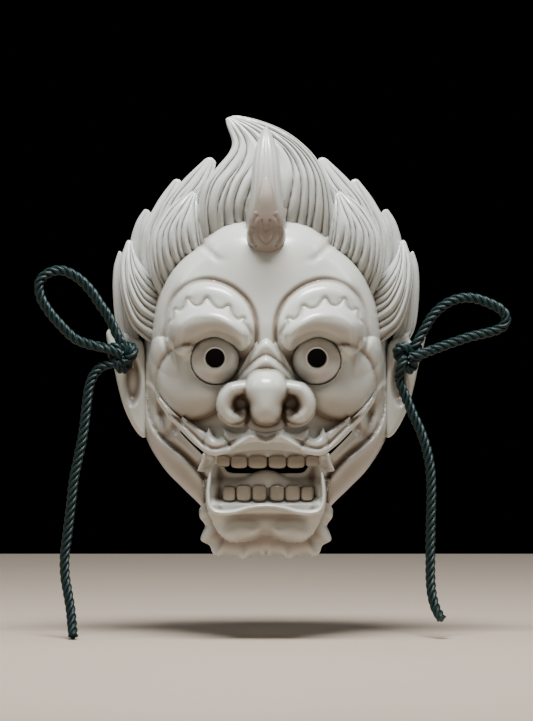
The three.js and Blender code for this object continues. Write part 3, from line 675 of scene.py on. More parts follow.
def carve(name, outline, front, back, step, holes=()):
    """A closed block between a front and a back depth, over an outline with holes through it."""
    loops = []
    for line in [outline, *holes]:
        line = np.asarray(line, float)
        closed = np.vstack([line, line[:1]])
        lengths = np.concatenate([[0], np.cumsum(np.linalg.norm(np.diff(closed, axis=0), axis=1))])
        count = max(8, int(round(lengths[-1] / step)))
        at = np.arange(count) / count * lengths[-1]
        loops.append(np.stack([np.interp(at, lengths, closed[:, axis]) for axis in (0, 1)], 1))
    low, high = loops[0].min(0), loops[0].max(0)
    rows = np.arange(low[1], high[1], step * 0.866)
    columns = np.arange(low[0], high[0] + step, step)
    grid_x, grid_z = np.meshgrid(columns, rows)
    grid_x = grid_x + (np.arange(len(rows)) % 2)[:, None] * step / 2
    x, z = grid_x.ravel(), grid_z.ravel()
    keep = inward(x, z, loops[0]) > 0.55 * step
    for loop in loops[1:]:
        keep[keep] = inward(x[keep], z[keep], loop) < -0.55 * step
    points = np.vstack(loops + [np.stack([x[keep], z[keep]], 1)])
    edges, start = [], 0
    for loop in loops:
        n = len(loop)
        edges += [(start + k, start + (k + 1) % n) for k in range(n)]
        start += n
    done = delaunay_2d_cdt([Vector(p) for p in points], edges, [], 0, 1e-7)
    flat = np.array([tuple(v) for v in done[0]])
    triangles = np.array(done[2])
    middle = flat[triangles].mean(1)
    wanted = inside(middle[:, 0], middle[:, 1], loops[0])
    for loop in loops[1:]:
        wanted &= ~inside(middle[:, 0], middle[:, 1], loop)
    triangles = triangles[wanted]
    a, b, c = (flat[triangles[:, k]] for k in range(3))
    turned = (b[:, 0] - a[:, 0]) * (c[:, 1] - a[:, 1]) - (b[:, 1] - a[:, 1]) * (c[:, 0] - a[:, 0]) < 0
    triangles[turned] = triangles[turned][:, ::-1]
    x, z = flat[:, 0], flat[:, 1]
    n = len(flat)
    ahead, behind = front(x, z), back(x, z)
    behind = np.minimum(behind, ahead - THINNEST)
    vertices = np.concatenate([np.stack([x, -ahead, z], 1), np.stack([x, -behind, z], 1)])
    faces = [tuple(t) for t in triangles] + [tuple(t + n) for t in triangles[:, ::-1]]
    sides = np.concatenate([triangles[:, [0, 1]], triangles[:, [1, 2]], triangles[:, [2, 0]]])
    paired = {}
    for i, j in sides.tolist():
        paired[(i, j)] = True
    for i, j in paired:
        if (j, i) not in paired:
            faces.append((j, i, i + n, j + n))
    return solid_piece(name, vertices * MM, faces)


def solid_piece(name, vertices, faces):
    """A mesh object from a closed list of faces, smooth apart from its sharp corners."""
    mesh = bpy.data.meshes.new(name)
    mesh.from_pydata([tuple(v) for v in vertices], [], faces)
    mesh.validate()
    mesh.shade_smooth()
    piece = placed(name, mesh)
    mesh.set_sharp_from_angle(angle=math.radians(50))
    return piece


def gofun_material(name, light, deep, roughness):
    """Shell-lime white over wood: satin and a little uneven, mixed towards a deep colour as painted shade in
    the cuts and on the undersides.
    """
    material, nodes, links, shader = start_material(
        name, roughness, Specular_IOR_Level=0.55, Coat_Weight=0.45, Coat_Roughness=0.20
    )
    cloud = noise_in_place(nodes, links, 22.0, 5.0)
    grain = noise_in_place(nodes, links, 520.0, 3.0)
    tone = between(nodes, links, cloud, [c * 0.93 for c in light], light, (0.30, 0.72))
    cut = nodes.new("ShaderNodeAttribute")
    cut.attribute_name = "cut"
    shade = nodes.new("ShaderNodeMix")
    shade.data_type = "RGBA"
    shade.inputs["B"].default_value = (*deep, 1)
    links.new(cut.outputs["Fac"], shade.inputs["Factor"])
    links.new(tone, shade.inputs["A"])
    links.new(shade.outputs["Result"], shader.inputs["Base Color"])
    grain_bump(nodes, links, shader, grain, 0.045, 0.0003)
    return material


def paint_shade(piece, reach=5, strength=1.0, wash=None):
    """Stores painted shade for the white: down in the cuts, on the undersides and towards the bottom of the
    mask.

    An extra shade function adds its own share of painted shade, from 0 to 1, at a place across and up the
    mask."""
    mesh = piece.data
    n = len(mesh.vertices)
    place, normal = np.empty((n, 3)), np.empty((n, 3))
    mesh.vertices.foreach_get("co", place.ravel())
    mesh.vertex_normals.foreach_get("vector", normal.ravel())
    pair = np.empty(len(mesh.edges) * 2, int)
    mesh.edges.foreach_get("vertices", pair)
    i, j = pair.reshape(-1, 2).T
    along = place[j] - place[i]
    length = np.linalg.norm(along, axis=1) + 1e-9
    bend = np.zeros(n)
    count = np.zeros(n)
    np.add.at(bend, i, (along * normal[i]).sum(1) / length)
    np.add.at(bend, j, -(along * normal[j]).sum(1) / length)
    np.add.at(count, i, 1)
    np.add.at(count, j, 1)
    bend /= np.maximum(count, 1)

    def spread(values, rounds):
        for _ in range(rounds):
            total = values + np.bincount(i, values[j], n) + np.bincount(j, values[i], n)
            values = total / (count + 1)
        return values

    bend = spread(bend, reach)
    broad = spread(bend, 3 * reach)
    # Painted shade: surfaces that face down, and the lower part of the mask, are darkened as well as the
    # cuts.
    under = smoothstep(-normal[:, 2], -0.18, 0.75) * smoothstep(-place[:, 2], -0.07, 0.0)
    low = 0.17 * smoothstep(-place[:, 2], -0.02, 0.07)
    depth = np.clip((bend * 5.5 + broad * 9.0 + 0.85 * under) * strength + low, 0, 1)
    if wash is not None:
        depth = 1 - (1 - depth) * (1 - wash(place[:, 0] / MM, place[:, 2] / MM))
    mesh.attributes.new("cut", "FLOAT", "POINT").data.foreach_set("value", depth)


def carved_piece(node, slot, material, outline, front, back, step, holes=(), **cuts):
    """A carved block with painted shade in its cuts and on its undersides, standing for one of the mask's
    pieces.
    """
    piece = carve("visual_" + node, outline, front, back, step, holes)
    paint_shade(piece, **cuts)
    stand_for(piece, node, material)


GOFUN_LIGHT = (0.60, 0.595, 0.54)
# The colour that painted shade mixes the white towards, in the cuts, on the undersides and low on the mask.
GOFUN_SHADE = (0.19, 0.135, 0.092)
gofun = gofun_material("gofun_white", GOFUN_LIGHT, GOFUN_SHADE, 0.30)

SIGHT_BORE = 9.0
holes = [outline_line(MOUTH_OPENING)]
for _, side in SIDES:
    holes.append(outline_line(flipped(SLIT, side), 5))
    turn = np.linspace(0, 2 * math.pi, 48, endpoint=False)
    holes.append(np.stack([side * EYE_X + SIGHT_BORE * np.cos(turn), EYE_Z + SIGHT_BORE * np.sin(turn)], 1))
shell = carve("visual_face_shell", rim, face_depth, hollow_depth, SHELL_STEP, holes)
# Painted shade, darker on the lower sides of the face towards the jaw.
paint_shade(shell, wash=lambda x, z: 0.38 * smoothstep(-z, 12, 70) * smoothstep(np.abs(x), 22, 60))
stand_for(shell, "face_shell", gofun)


def bare_wood_material():
    """Old cypress seen from behind: brown with age, grain running up the block."""
    material, nodes, links, shader = start_material("bare_cypress", 0.62)
    grain = noise_in_place(nodes, links, 420.0, 4.0, (1.0, 1.0, 0.06))
    dark, light = (0.150, 0.080, 0.038), (0.300, 0.180, 0.095)
    links.new(between(nodes, links, grain, dark, light, (0.35, 0.65)), shader.inputs["Base Color"])
    return material


shell.data.materials.append(bare_wood_material())
half = len(shell.data.vertices) // 2
for face in shell.data.polygons:
    face.material_index = int(min(face.vertices) >= half)

# ---------------------------------------------------------------------------------- eyes
# Each eye is a separate thin shell, turned and polished, set into its socket from the front, with
# a bevelled ring glued round the sight hole and a disc of fine black gauze stretched behind it.
EYE_CENTRE_DEPTH = 62.6
SIGHT_Z = -0.6  # the sight hole sits a little above the middle of the ball
SIGHT_RADIUS = 5.86
RING_RADIUS = 7.0
GAUZE_DEPTH = 73.3
GAUZE_RADIUS = 6.6
THREAD_PITCH = 0.36
THREAD_RADIUS = 0.075


def circle(centre, radius, count=72):
    turn = np.linspace(0, 2 * math.pi, count, endpoint=False)
    return np.stack([centre[0] + radius * np.cos(turn), centre[1] + radius * np.sin(turn)], 1)


def ball_depth(x, z):
    reach = (np.abs(x) - EYE_X) ** 2 + (z - EYE_Z) ** 2
    return EYE_CENTRE_DEPTH + np.sqrt(np.clip(EYE_RADIUS**2 - reach, 0, None))


def ring_depth(x, z):
    reach = np.hypot(np.abs(x) - EYE_X, z - SIGHT_Z)
    crest = 0.75 * (1 - np.clip(np.abs(reach - 6.5) / 0.62, 0, 1) ** 2)
    return EYE_CENTRE_DEPTH + 13.4 + crest - 0.9 * smoothstep(-reach, -6.5, -5.8)


def gauze_tree():
    """A plain weave: waved threads in two directions, cut to a disc."""
    tree = bpy.data.node_groups.new("plain_weave", "GeometryNodeTree")
    keys = {"Start": group_socket(tree, "Start", "NodeSocketGeometry")}
    for label, value in (
        ("Disc radius", GAUZE_RADIUS * MM),
        ("Thread pitch", THREAD_PITCH * MM),
        ("Thread radius", THREAD_RADIUS * MM),
    ):
        keys[label] = group_socket(tree, label, "NodeSocketFloat", value)
    keys["Place"] = group_socket(tree, "Place", "NodeSocketVector")
    keys["Finish"] = group_socket(tree, "Finish", "NodeSocketMaterial")
    group_socket(tree, "Gauze", "NodeSocketGeometry", out="OUTPUT")
    new, link = tree.nodes.new, tree.links.new
    given, made = new("NodeGroupInput"), new("NodeGroupOutput")
    radius, pitch = given.outputs["Disc radius"], given.outputs["Thread pitch"]
    across = maths(tree, "MULTIPLY", radius, 2.0)
    count = maths(tree, "FLOOR", maths(tree, "DIVIDE", across, pitch))
    joined = new("GeometryNodeJoinGeometry")
    for turned in (False, True):
        grid = new("GeometryNodeMeshGrid")
        link(across, grid.inputs["Size X"])
        link(across, grid.inputs["Size Y"])
        link(maths(tree, "MULTIPLY", count, 4.0), grid.inputs["Vertices X"])
        link(count, grid.inputs["Vertices Y"])
        place = new("GeometryNodeInputPosition")
        split = new("ShaderNodeSeparateXYZ")
        link(place.outputs[0], split.inputs[0])
        ends = new("GeometryNodeInputMeshEdgeVertices")
        start, end = new("ShaderNodeSeparateXYZ"), new("ShaderNodeSeparateXYZ")
        link(ends.outputs["Position 1"], start.inputs[0])
        link(ends.outputs["Position 2"], end.inputs[0])
        step = maths(tree, "ABSOLUTE", maths(tree, "SUBTRACT", start.outputs["Y"], end.outputs["Y"]))
        crossing = maths(tree, "GREATER_THAN", step, maths(tree, "MULTIPLY", pitch, 0.1))
        rungs = new("GeometryNodeDeleteGeometry")
        rungs.domain = "EDGE"
        link(grid.outputs["Mesh"], rungs.inputs["Geometry"])
        link(crossing, rungs.inputs["Selection"])
        length = new("ShaderNodeVectorMath")
        length.operation = "LENGTH"
        link(place.outputs[0], length.inputs[0])
        beyond = new("GeometryNodeDeleteGeometry")
        link(rungs.outputs[0], beyond.inputs["Geometry"])
        link(maths(tree, "GREATER_THAN", length.outputs["Value"], radius), beyond.inputs["Selection"])
        phase = maths(tree, "ADD", maths(tree, "DIVIDE", split.outputs["X"], pitch),
                      maths(tree, "DIVIDE", split.outputs["Y"], pitch))
        wave = maths(tree, "SINE", maths(tree, "MULTIPLY", phase, math.pi))
        lift = maths(tree, "MULTIPLY", maths(tree, "MULTIPLY", wave, given.outputs["Thread radius"]),
                     -1.0 if turned else 1.0)
        offset = new("ShaderNodeCombineXYZ")
        link(lift, offset.inputs["Z"])
        waved = new("GeometryNodeSetPosition")
        link(beyond.outputs[0], waved.inputs["Geometry"])
        link(offset.outputs[0], waved.inputs["Offset"])
        lines = new("GeometryNodeMeshToCurve")
        link(waved.outputs[0], lines.inputs["Mesh"])
        spun = new("GeometryNodeTransform")
        spun.inputs["Rotation"].default_value = (0, 0, math.pi / 2 if turned else 0)
        link(lines.outputs[0], spun.inputs["Geometry"])
        link(spun.outputs[0], joined.inputs[0])
    section = new("GeometryNodeCurvePrimitiveCircle")
    section.inputs["Resolution"].default_value = 4
    link(given.outputs["Thread radius"], section.inputs["Radius"])
    threads = new("GeometryNodeCurveToMesh")
    threads.inputs["Fill Caps"].default_value = True
    link(joined.outputs[0], threads.inputs["Curve"])
    link(section.outputs["Curve"], threads.inputs["Profile Curve"])
    stood = new("GeometryNodeTransform")
    stood.inputs["Rotation"].default_value = (math.pi / 2, 0, 0)
    link(threads.outputs[0], stood.inputs["Geometry"])
    moved = new("GeometryNodeTransform")
    link(given.outputs["Place"], moved.inputs["Translation"])
    link(stood.outputs[0], moved.inputs["Geometry"])
    finish_shape(tree, moved, given, made)
    return tree, keys


def thread_material():
    """Black lacquered thread, with faint grey flecks of painted glint scattered over it at random."""
    material, nodes, links, shader = start_material("black_gauze_thread", 0.5)
    dark, light = (0.0006, 0.0006, 0.0007), (0.030, 0.030, 0.034)
    painted_glint = noise_in_place(nodes, links, 1500.0)
    links.new(between(nodes, links, painted_glint, dark, light, (0.5, 0.75)), shader.inputs["Base Color"])
    return material


eye_white = gofun_material("polished_eye_white", (0.60, 0.585, 0.54), GOFUN_SHADE, 0.36)
ring_white = gofun_material("polished_ring_white", (0.86, 0.85, 0.81), (0.5, 0.45, 0.4), 0.30)
thread = thread_material()
weave_tree, weave_keys = gauze_tree()
for word, side in SIDES:
    carved_piece(
        f"{word}_eye", "eye_shell", eye_white, circle((side * EYE_X, EYE_Z), EYE_RADIUS - 0.15, 120),
        ball_depth, lambda x, z: ball_depth(x, z) - 3.2, 0.7,
        [circle((side * EYE_X, SIGHT_Z), RING_RADIUS - 0.35)],
    )
    carved_piece(
        f"{word}_pupil_ring", "ring", ring_white, circle((side * EYE_X, SIGHT_Z), RING_RADIUS),
        ring_depth, level(EYE_CENTRE_DEPTH + 11.6), 0.28, [circle((side * EYE_X, SIGHT_Z), SIGHT_RADIUS)],
    )
    place = (side * EYE_X * MM, -GAUZE_DEPTH * MM, SIGHT_Z * MM)
    gauze = grown_by_nodes(
        f"visual_{word}_eye_gauze", bpy.data.meshes.new(f"{word}_weave"), weave_tree,
        {weave_keys["Place"]: place, weave_keys["Finish"]: thread},
    )
    stand_for(gauze, f"{word}_eye_gauze", thread)

# ---------------------------------------------------------------------------------- nose
# One carved block with two rolls of wrinkled skin over the bridge, a heavy round tip and two
# scrolled wings, let into the face between the eyes and the moustache.
NOSE = [
    (0, 12.5), (5.5, 9.6), (10, 2.8), (14, -4.5), (16.5, -9.5), (19, -14), (25, -16.2), (29.6, -21.2),
    (31.0, -29), (29.2, -36.8), (24, -41.8), (18, -43.4), (12.6, -42.6), (7, -45), (0, -46),
]
WING_SCROLL = [
    (5, -15.5), (13, -18.2), (20.5, -20.0), (24.6, -25.4), (25.2, -31.4), (21.6, -36.6), (16.4, -37.0),
    (13.9, -34.4),
]
WING_RADII = [3.4, 4.4, 5.0, 5.2, 5.0, 4.6, 3.8, 3.0]
WING_DEPTHS = [74, 77, 77, 75.5, 74.5, 74.0, 72, 68.5]


def seat(x, z):
    """The face's surface as the added pieces sit on it: without the eye sockets."""
    return face_depth(x, z) + socket_drop(x, z)


def nose_depth(x, z):
    ax = np.abs(x)
    under = seat(x, z)
    roll_1 = 11.6 - 1.55 * (np.sqrt(ax**2 + 12) - 3.46) - z
    roll_2 = 0.8 - 0.85 * (np.sqrt(ax**2 + 12) - 3.46) - z
    root = under - 2.0 + 9.0 * rounded(roll_1, 6.0) + 9.0 * rounded(roll_2, 5.5)
    root -= 9 * smoothstep(-z, 15, 28)
    wide = np.where(z > -20, 14.2, 14.2 - 3.6 * smoothstep(-z, 20, 31))
    tall = np.where(z > -20, 13.4, 22.6)
    tip_share = np.clip(1 - (ax / wide) ** 2.2 - (np.abs(z + 20) / tall) ** np.where(z > -20, 2.0, 4.6), 0, 1)
    tip = np.where(tip_share > 0, 73 + 22.0 * np.sqrt(tip_share), 60.0)
    gap, t = curve_distance(ax, z, WING_SCROLL, 8)
    at = np.linspace(0, 1, len(WING_RADII))
    thick, level = np.interp(t, at, WING_RADII), np.interp(t, at, WING_DEPTHS)
    wing = np.where(gap < thick, level + 1.55 * np.sqrt(np.clip(thick**2 - gap**2, 0, None)), 60.0)
    hole = smoothstep(-np.hypot(ax - 15.8, (z + 29.2) * 0.95), -7.5, -2.0)
    d = soft_max(soft_max(root - 16 * hole, tip, 0.8), wing, 0.8)
    d = np.maximum(d, 69.0 - 5.0 * hole)
    seam, _ = curve_distance(ax, z, [(11.2, -28), (11.4, -33), (11.0, -37), (12.2, -41.5)])
    return d - 3.0 * bell(seam, 1.1)


carved_piece("nose", "gofun", gofun, outline_line(mirrored(NOSE), 8), nose_depth, seated(level(50)), 0.6)

# ---------------------------------------------------------------------------------- brows
# Carved pads with six flame-like points along the top, sunk into the arches over the eyes. The
# lower edge hangs out over the eyeball.
BROW_BODY = [
    (9.6, 8), (11.0, 15), (15.0, 21.4), (20.6, 26), (28, 29.8), (36, 31.2), (44, 31.0), (51, 28.8),
    (56.4, 24.6), (60.2, 18), (61.4, 9), (58.8, 3), (52.5, -2), (46.6, 0.6), (41.8, 6.8), (31.6, 10.2),
    (21.8, 6.4), (15.2, 1.6), (10.6, 3.0),
]
BROW_LOWER_EDGE = [
    (60.8, 9), (58.8, 4), (52.5, 0.4), (46.6, 2.6), (41.8, 8.8), (31.6, 12.2), (21.8, 8.4), (15.2, 3.6),
    (10, 6),
]


def brow_depth(x, z):
    ax = np.abs(x)
    edge = inward(ax, z, brow_edge)
    body = inward(ax, z, outline_line(BROW_BODY))
    below, _ = curve_distance(ax, z, BROW_LOWER_EDGE, 6)
    swell = rounded(below, 15) * (1 - 0.12 * smoothstep(below, 12, 26))
    return seat(x, z) - 1.0 + 5.2 * rounded(edge, 2.2) + 10.5 * swell * smoothstep(body, -6, 7)


for word, side in SIDES:
    carved_piece(
        f"{word}_brow", "gofun", gofun, brow_edge * (side, 1), brow_depth, seated(level(50)), 0.55,
    )

# ---------------------------------------------------------------------------------- horn
# A brown horn, its colour partly painted shade and darkened further towards its base, rises from two carved
# sepals on the forehead. A pale fluted spike stands behind it and runs up over the crown lock.
HORN = [
    (0, 59.6), (4.5, 60.6), (8.6, 64.6), (11.4, 70), (12.1, 75), (11.4, 80), (10.0, 84.6), (8.2, 89),
    (6.9, 93), (5.7, 98), (4.1, 104), (2.3, 108.6), (0, 110.4),
]
SHEATH = [
    (0, 62), (8, 64), (12.0, 71), (12.6, 80), (12.2, 86), (13.2, 91.6), (11.0, 92.6), (11.4, 97.6),
    (9.8, 99.4), (9.2, 108), (8.2, 120), (6.4, 130), (3.6, 138.5), (0, 143.4),
]


def width_at(outline, z):
    rows = np.array(sorted((b, a) for a, b in outline))
    return np.interp(z, rows[:, 0], rows[:, 1])


def eased(z, heights, values):
    """Values set at some heights, read smoothly at any height between them."""
    line = through_points(list(zip(heights, values)), 12)
    return np.interp(z, line[:, 0], line[:, 1])


def horn_depth(x, z):
    ax = np.abs(x)
    half = np.maximum(width_at(HORN, z), 0.3)
    base = eased(z, [59, 66, 76, 86, 96, 110.6], [58, 62.5, 67, 71, 74.5, 78.5])
    proud = eased(z, [59, 63, 70, 80, 90, 100, 110.6], [2, 6.5, 11, 12.5, 10, 7, 0.8])
    d = base + proud * np.sqrt(np.clip(1 - (ax / half) ** 2.1, 0, 1))
    # two sepals clasp the cone: their curled upper rims, the drop-shaped hollows and folds between
    hollow, t = curve_distance(ax, z, [(8.4, 77), (8.2, 73.6), (7.2, 70.4), (6.2, 68.4)])
    d -= 1.5 * bell(hollow, 0.8 + 0.6 * (1 - t))
    rim, t = curve_distance(ax, z, [(7.0, 88.5), (8.6, 85), (9.4, 81), (9.2, 76.5)], 6)
    d += 1.1 * bell(rim, 0.75) * (1 - 0.5 * t)
    under, _ = curve_distance(ax, z, [(5.6, 86), (7.2, 82.6), (7.8, 79)], 6)
    d -= 0.9 * bell(under, 0.8)
    drop = np.hypot(x / 2.6, (z - 82.6) / 5.0)
    d -= 0.55 * bell(drop - 1, 0.25) * (z < 84)
    fold, t = curve_distance(ax, z, [(0.4, 70.0), (3.0, 72.4), (4.6, 77), (4.6, 82)])
    return d - 0.8 * bell(fold, 0.75) * (1 - 0.6 * t)


def sheath_depth(x, z):
    heights = [61, 66, 74, 86, 98, 108, 120, 130, 138.5, 144]
    half = eased(z, heights, [2, 9, 12.6, 13, 10.9, 9.3, 8.3, 6.5, 3.7, 0.3])
    across = np.clip(x / half, -1, 1)
    base = eased(z, [61, 80, 95, 110, 125, 144], [50, 52, 54, 54, 51, 45])
    proud = eased(z, [61, 80, 95, 110, 125, 136, 144], [8, 11, 11, 9.5, 7.5, 5, 1.0])
    flutes = 1.5 * np.abs(np.cos(across * 2.4 * math.pi)) ** 0.8
    flutes = flutes * eased(z, [61, 90, 125, 144], [0.9, 1, 0.6, 0])
    return base + proud * np.sqrt(np.clip(1 - across**2, 0, 1)) + flutes * (1 - np.abs(across) ** 4)


horn_brown = gofun_material("horn_brown_and_shade", (0.42, 0.365, 0.305), (0.15, 0.10, 0.07), 0.36)
horn_back = seated(lambda x, z: eased(z, [59, 84, 96, 110.6], [50, 58, 68, 78.6]))
# Painted shade: the horn is darkened from its tip down towards its base, where it faces downwards.
carved_piece(
    "horn", "horn", horn_brown, outline_line(mirrored(HORN), 8), horn_depth, horn_back, 0.5,
    wash=lambda x, z: 0.75 * smoothstep(-z, -110, -78),
)
grey_white = gofun_material("grey_white", (0.47, 0.46, 0.42), GOFUN_SHADE, 0.32)
# Painted shade: the spike is darkened towards its lower end.
carved_piece(
    "horn_sheath", "gofun", grey_white, outline_line(mirrored(SHEATH), 8), sheath_depth,
    seated(lambda x, z: eased(z, [61, 100, 125, 144], [34, 40, 41, 42])), 0.6,
    wash=lambda x, z: 0.35 * smoothstep(-z, -125, -90),
)

# ---------------------------------------------------------------------------------- hair
# Flame-like locks, each carved as a tapering body whose rounded strands run together at its tip.
# The crown lock sweeps up and over to one side; the others stand in pairs behind the forehead.
CROWN_LOCK = {
    "guides": [
        [(-41, 60), (-42.0, 77), (-42.4, 92), (-39, 107), (-30, 119), (-23.4, 127), (-21.2, 134),
         (-24.4, 144), (-25.4, 149.6)],
        [(-16, 66), (-19, 80), (-19.5, 94), (-15, 108), (-9, 119), (-7, 128), (-9.5, 136), (-16, 144),
         (-23.4, 149.8)],
        [(14, 66), (17, 80), (20, 95), (21, 110), (18.5, 121), (12.5, 130.5), (3.5, 138), (-8, 144.6),
         (-21.4, 150.4)],
        [(41, 60), (41.8, 78), (41.4, 95), (38, 111), (30.8, 124.6), (20, 135.4), (8.5, 142.8),
         (-5.6, 148.2), (-20.6, 151.4)],
    ],
    "depths": (33, 38, 42, 44, 43, 42, 40.5, 38.5, 37.5),
    "hump": (6, 9, 10.5, 10, 8.5, 7, 5.6, 4, 1.6),
    "thick": (32, 34, 35, 34, 30, 26, 20, 12, 6),
    "strands": 15, "cut": 3.8, "seed": 4,
}
SIDE_LOCKS = {
    "outer_lock": {
        "guides": [
            [(78, 4), (82, 20), (84.5, 38), (86.8, 56), (90.8, 65.6)],
            [(83, 4), (89, 18), (91.6, 38), (91.4, 56), (91.6, 66.4)],
            [(86, 4), (94, 18), (96.6, 38), (96.2, 56), (92.8, 67.4)],
        ],
        "depths": (11, 13, 14, 15, 16), "hump": (2, 3, 3.5, 3, 1.2), "thick": (8, 9, 9, 8, 4),
        "strands": 4, "cut": 1.4, "seed": 2,
    },
    "curl": {
        "guides": [
            [(66, 54), (70.8, 70), (72.4, 82), (72.2, 90.5)],
            [(76, 52), (78.2, 70), (77.0, 83), (74.0, 92.6)],
            [(85, 52), (86, 70), (82.2, 84.5), (76.4, 93.6)],
        ],
        "depths": (15, 16, 17, 18), "hump": (2, 4, 4, 1.6), "thick": (8, 9, 9, 5),
        "strands": 3, "cut": 1.0, "seed": 3,
    },
    "outer_rear_lock": {
        "guides": [
            [(56, 48), (60, 66), (59.6, 82), (55, 97), (52.2, 109.6)],
            [(61.5, 43), (68.4, 60), (68.8, 80), (61.4, 97), (54.2, 111.4)],
            [(66, 38), (76.4, 54), (78.2, 76), (68.6, 97), (57.0, 112.6)],
        ],
        "depths": (22, 25, 26, 26, 25), "hump": (4, 5.5, 6, 4.5, 1.4), "thick": (16, 18, 18, 15, 5),
        "strands": 6, "cut": 2.2, "seed": 5,
    },
    "rear_lock": {
        "guides": [
            [(40, 62), (38, 84), (36.6, 100), (33.4, 112), (31.0, 122.6)],
            [(54, 58), (54.4, 80), (49.4, 98), (41.2, 111), (33.6, 124.8)],
            [(64, 50), (70.6, 70), (66.4, 92), (53.2, 109.6), (36.4, 125.8)],
        ],
        "depths": (28, 30, 31, 31, 30), "hump": (5, 7, 7, 5, 1.6), "thick": (20, 22, 21, 16, 5),
        "strands": 8, "cut": 2.6, "seed": 6,
    },
    "side_lock": {
        "guides": [
            [(63, 46), (70.8, 50.4), (77.4, 57.4), (82.0, 65.4), (84.0, 72.4)],
            [(66, 28), (76.6, 34.4), (83.0, 46), (85.6, 59), (85.2, 73.4)],
            [(70, 7), (83.4, 18), (90.6, 37), (92.2, 57), (87.2, 74)],
        ],
        "depths": (25, 28, 29, 27.5, 25), "hump": (5, 8.5, 9, 6.5, 1.8), "thick": (18, 20, 20, 16, 6),
        "strands": 9, "cut": 2.9, "seed": 7,
    },
    "front_lock": {
        "guides": [
            [(33, 58), (37.6, 72), (39.6, 86), (42.4, 96), (42.8, 102.6)],
            [(48, 56), (54.6, 66), (55.4, 80), (50.0, 93), (44.6, 104)],
            [(66, 36), (72.4, 52), (72.8, 73), (62.4, 91.6), (46.6, 104.6)],
        ],
        "depths": (31, 36.5, 37.5, 36.5, 34.5), "hump": (6, 9.5, 10.5, 7.5, 2), "thick": (24, 27, 26, 20, 7),
        "strands": 10, "cut": 3.2, "seed": 9,
    },
}
COLUMN_STEP = 0.42
FRONT_CLEAR, REAR_CLEAR = 4.5, 3.5  # how far a lock's two faces stay in front of the hollow
LOCK_ROWS = 110
LOCK_BACK_COLUMNS = 6


def spread_along(values, rows):
    """Values set at even shares of a lock's length, smoothed and read at every row."""
    line = through_points([np.atleast_1d(v) for v in values], 24)
    at = np.linspace(0, 1, len(line))
    return np.stack([np.interp(rows, at, line[:, k]) for k in range(line.shape[1])], 1)


def outward(piece):
    """Merges any doubled points of a closed piece and turns its faces outwards."""
    mesh = bmesh.new()
    mesh.from_mesh(piece.data)
    bmesh.ops.remove_doubles(mesh, verts=mesh.verts, dist=1e-6)
    bmesh.ops.recalc_face_normals(mesh, faces=mesh.faces)
    mesh.to_mesh(piece.data)
    mesh.free()
    return piece


def ringed_solid(name, rings):
    """A closed piece through rings of as many points each, capped at both ends."""
    count = len(rings[0])
    vertices = np.vstack([*rings, rings[0].mean(0)[None], rings[-1].mean(0)[None]])
    faces = []
    for i in range(len(rings) - 1):
        for k in range(count):
            a, b = i * count + k, i * count + (k + 1) % count
            faces.append((a, b, b + count, a + count))
    last = (len(rings) - 1) * count
    for k in range(count):
        faces.append(((k + 1) % count, k, len(vertices) - 2))
        faces.append((last + k, last + (k + 1) % count, len(vertices) - 1))
    return outward(solid_piece(name, metres(vertices), faces))


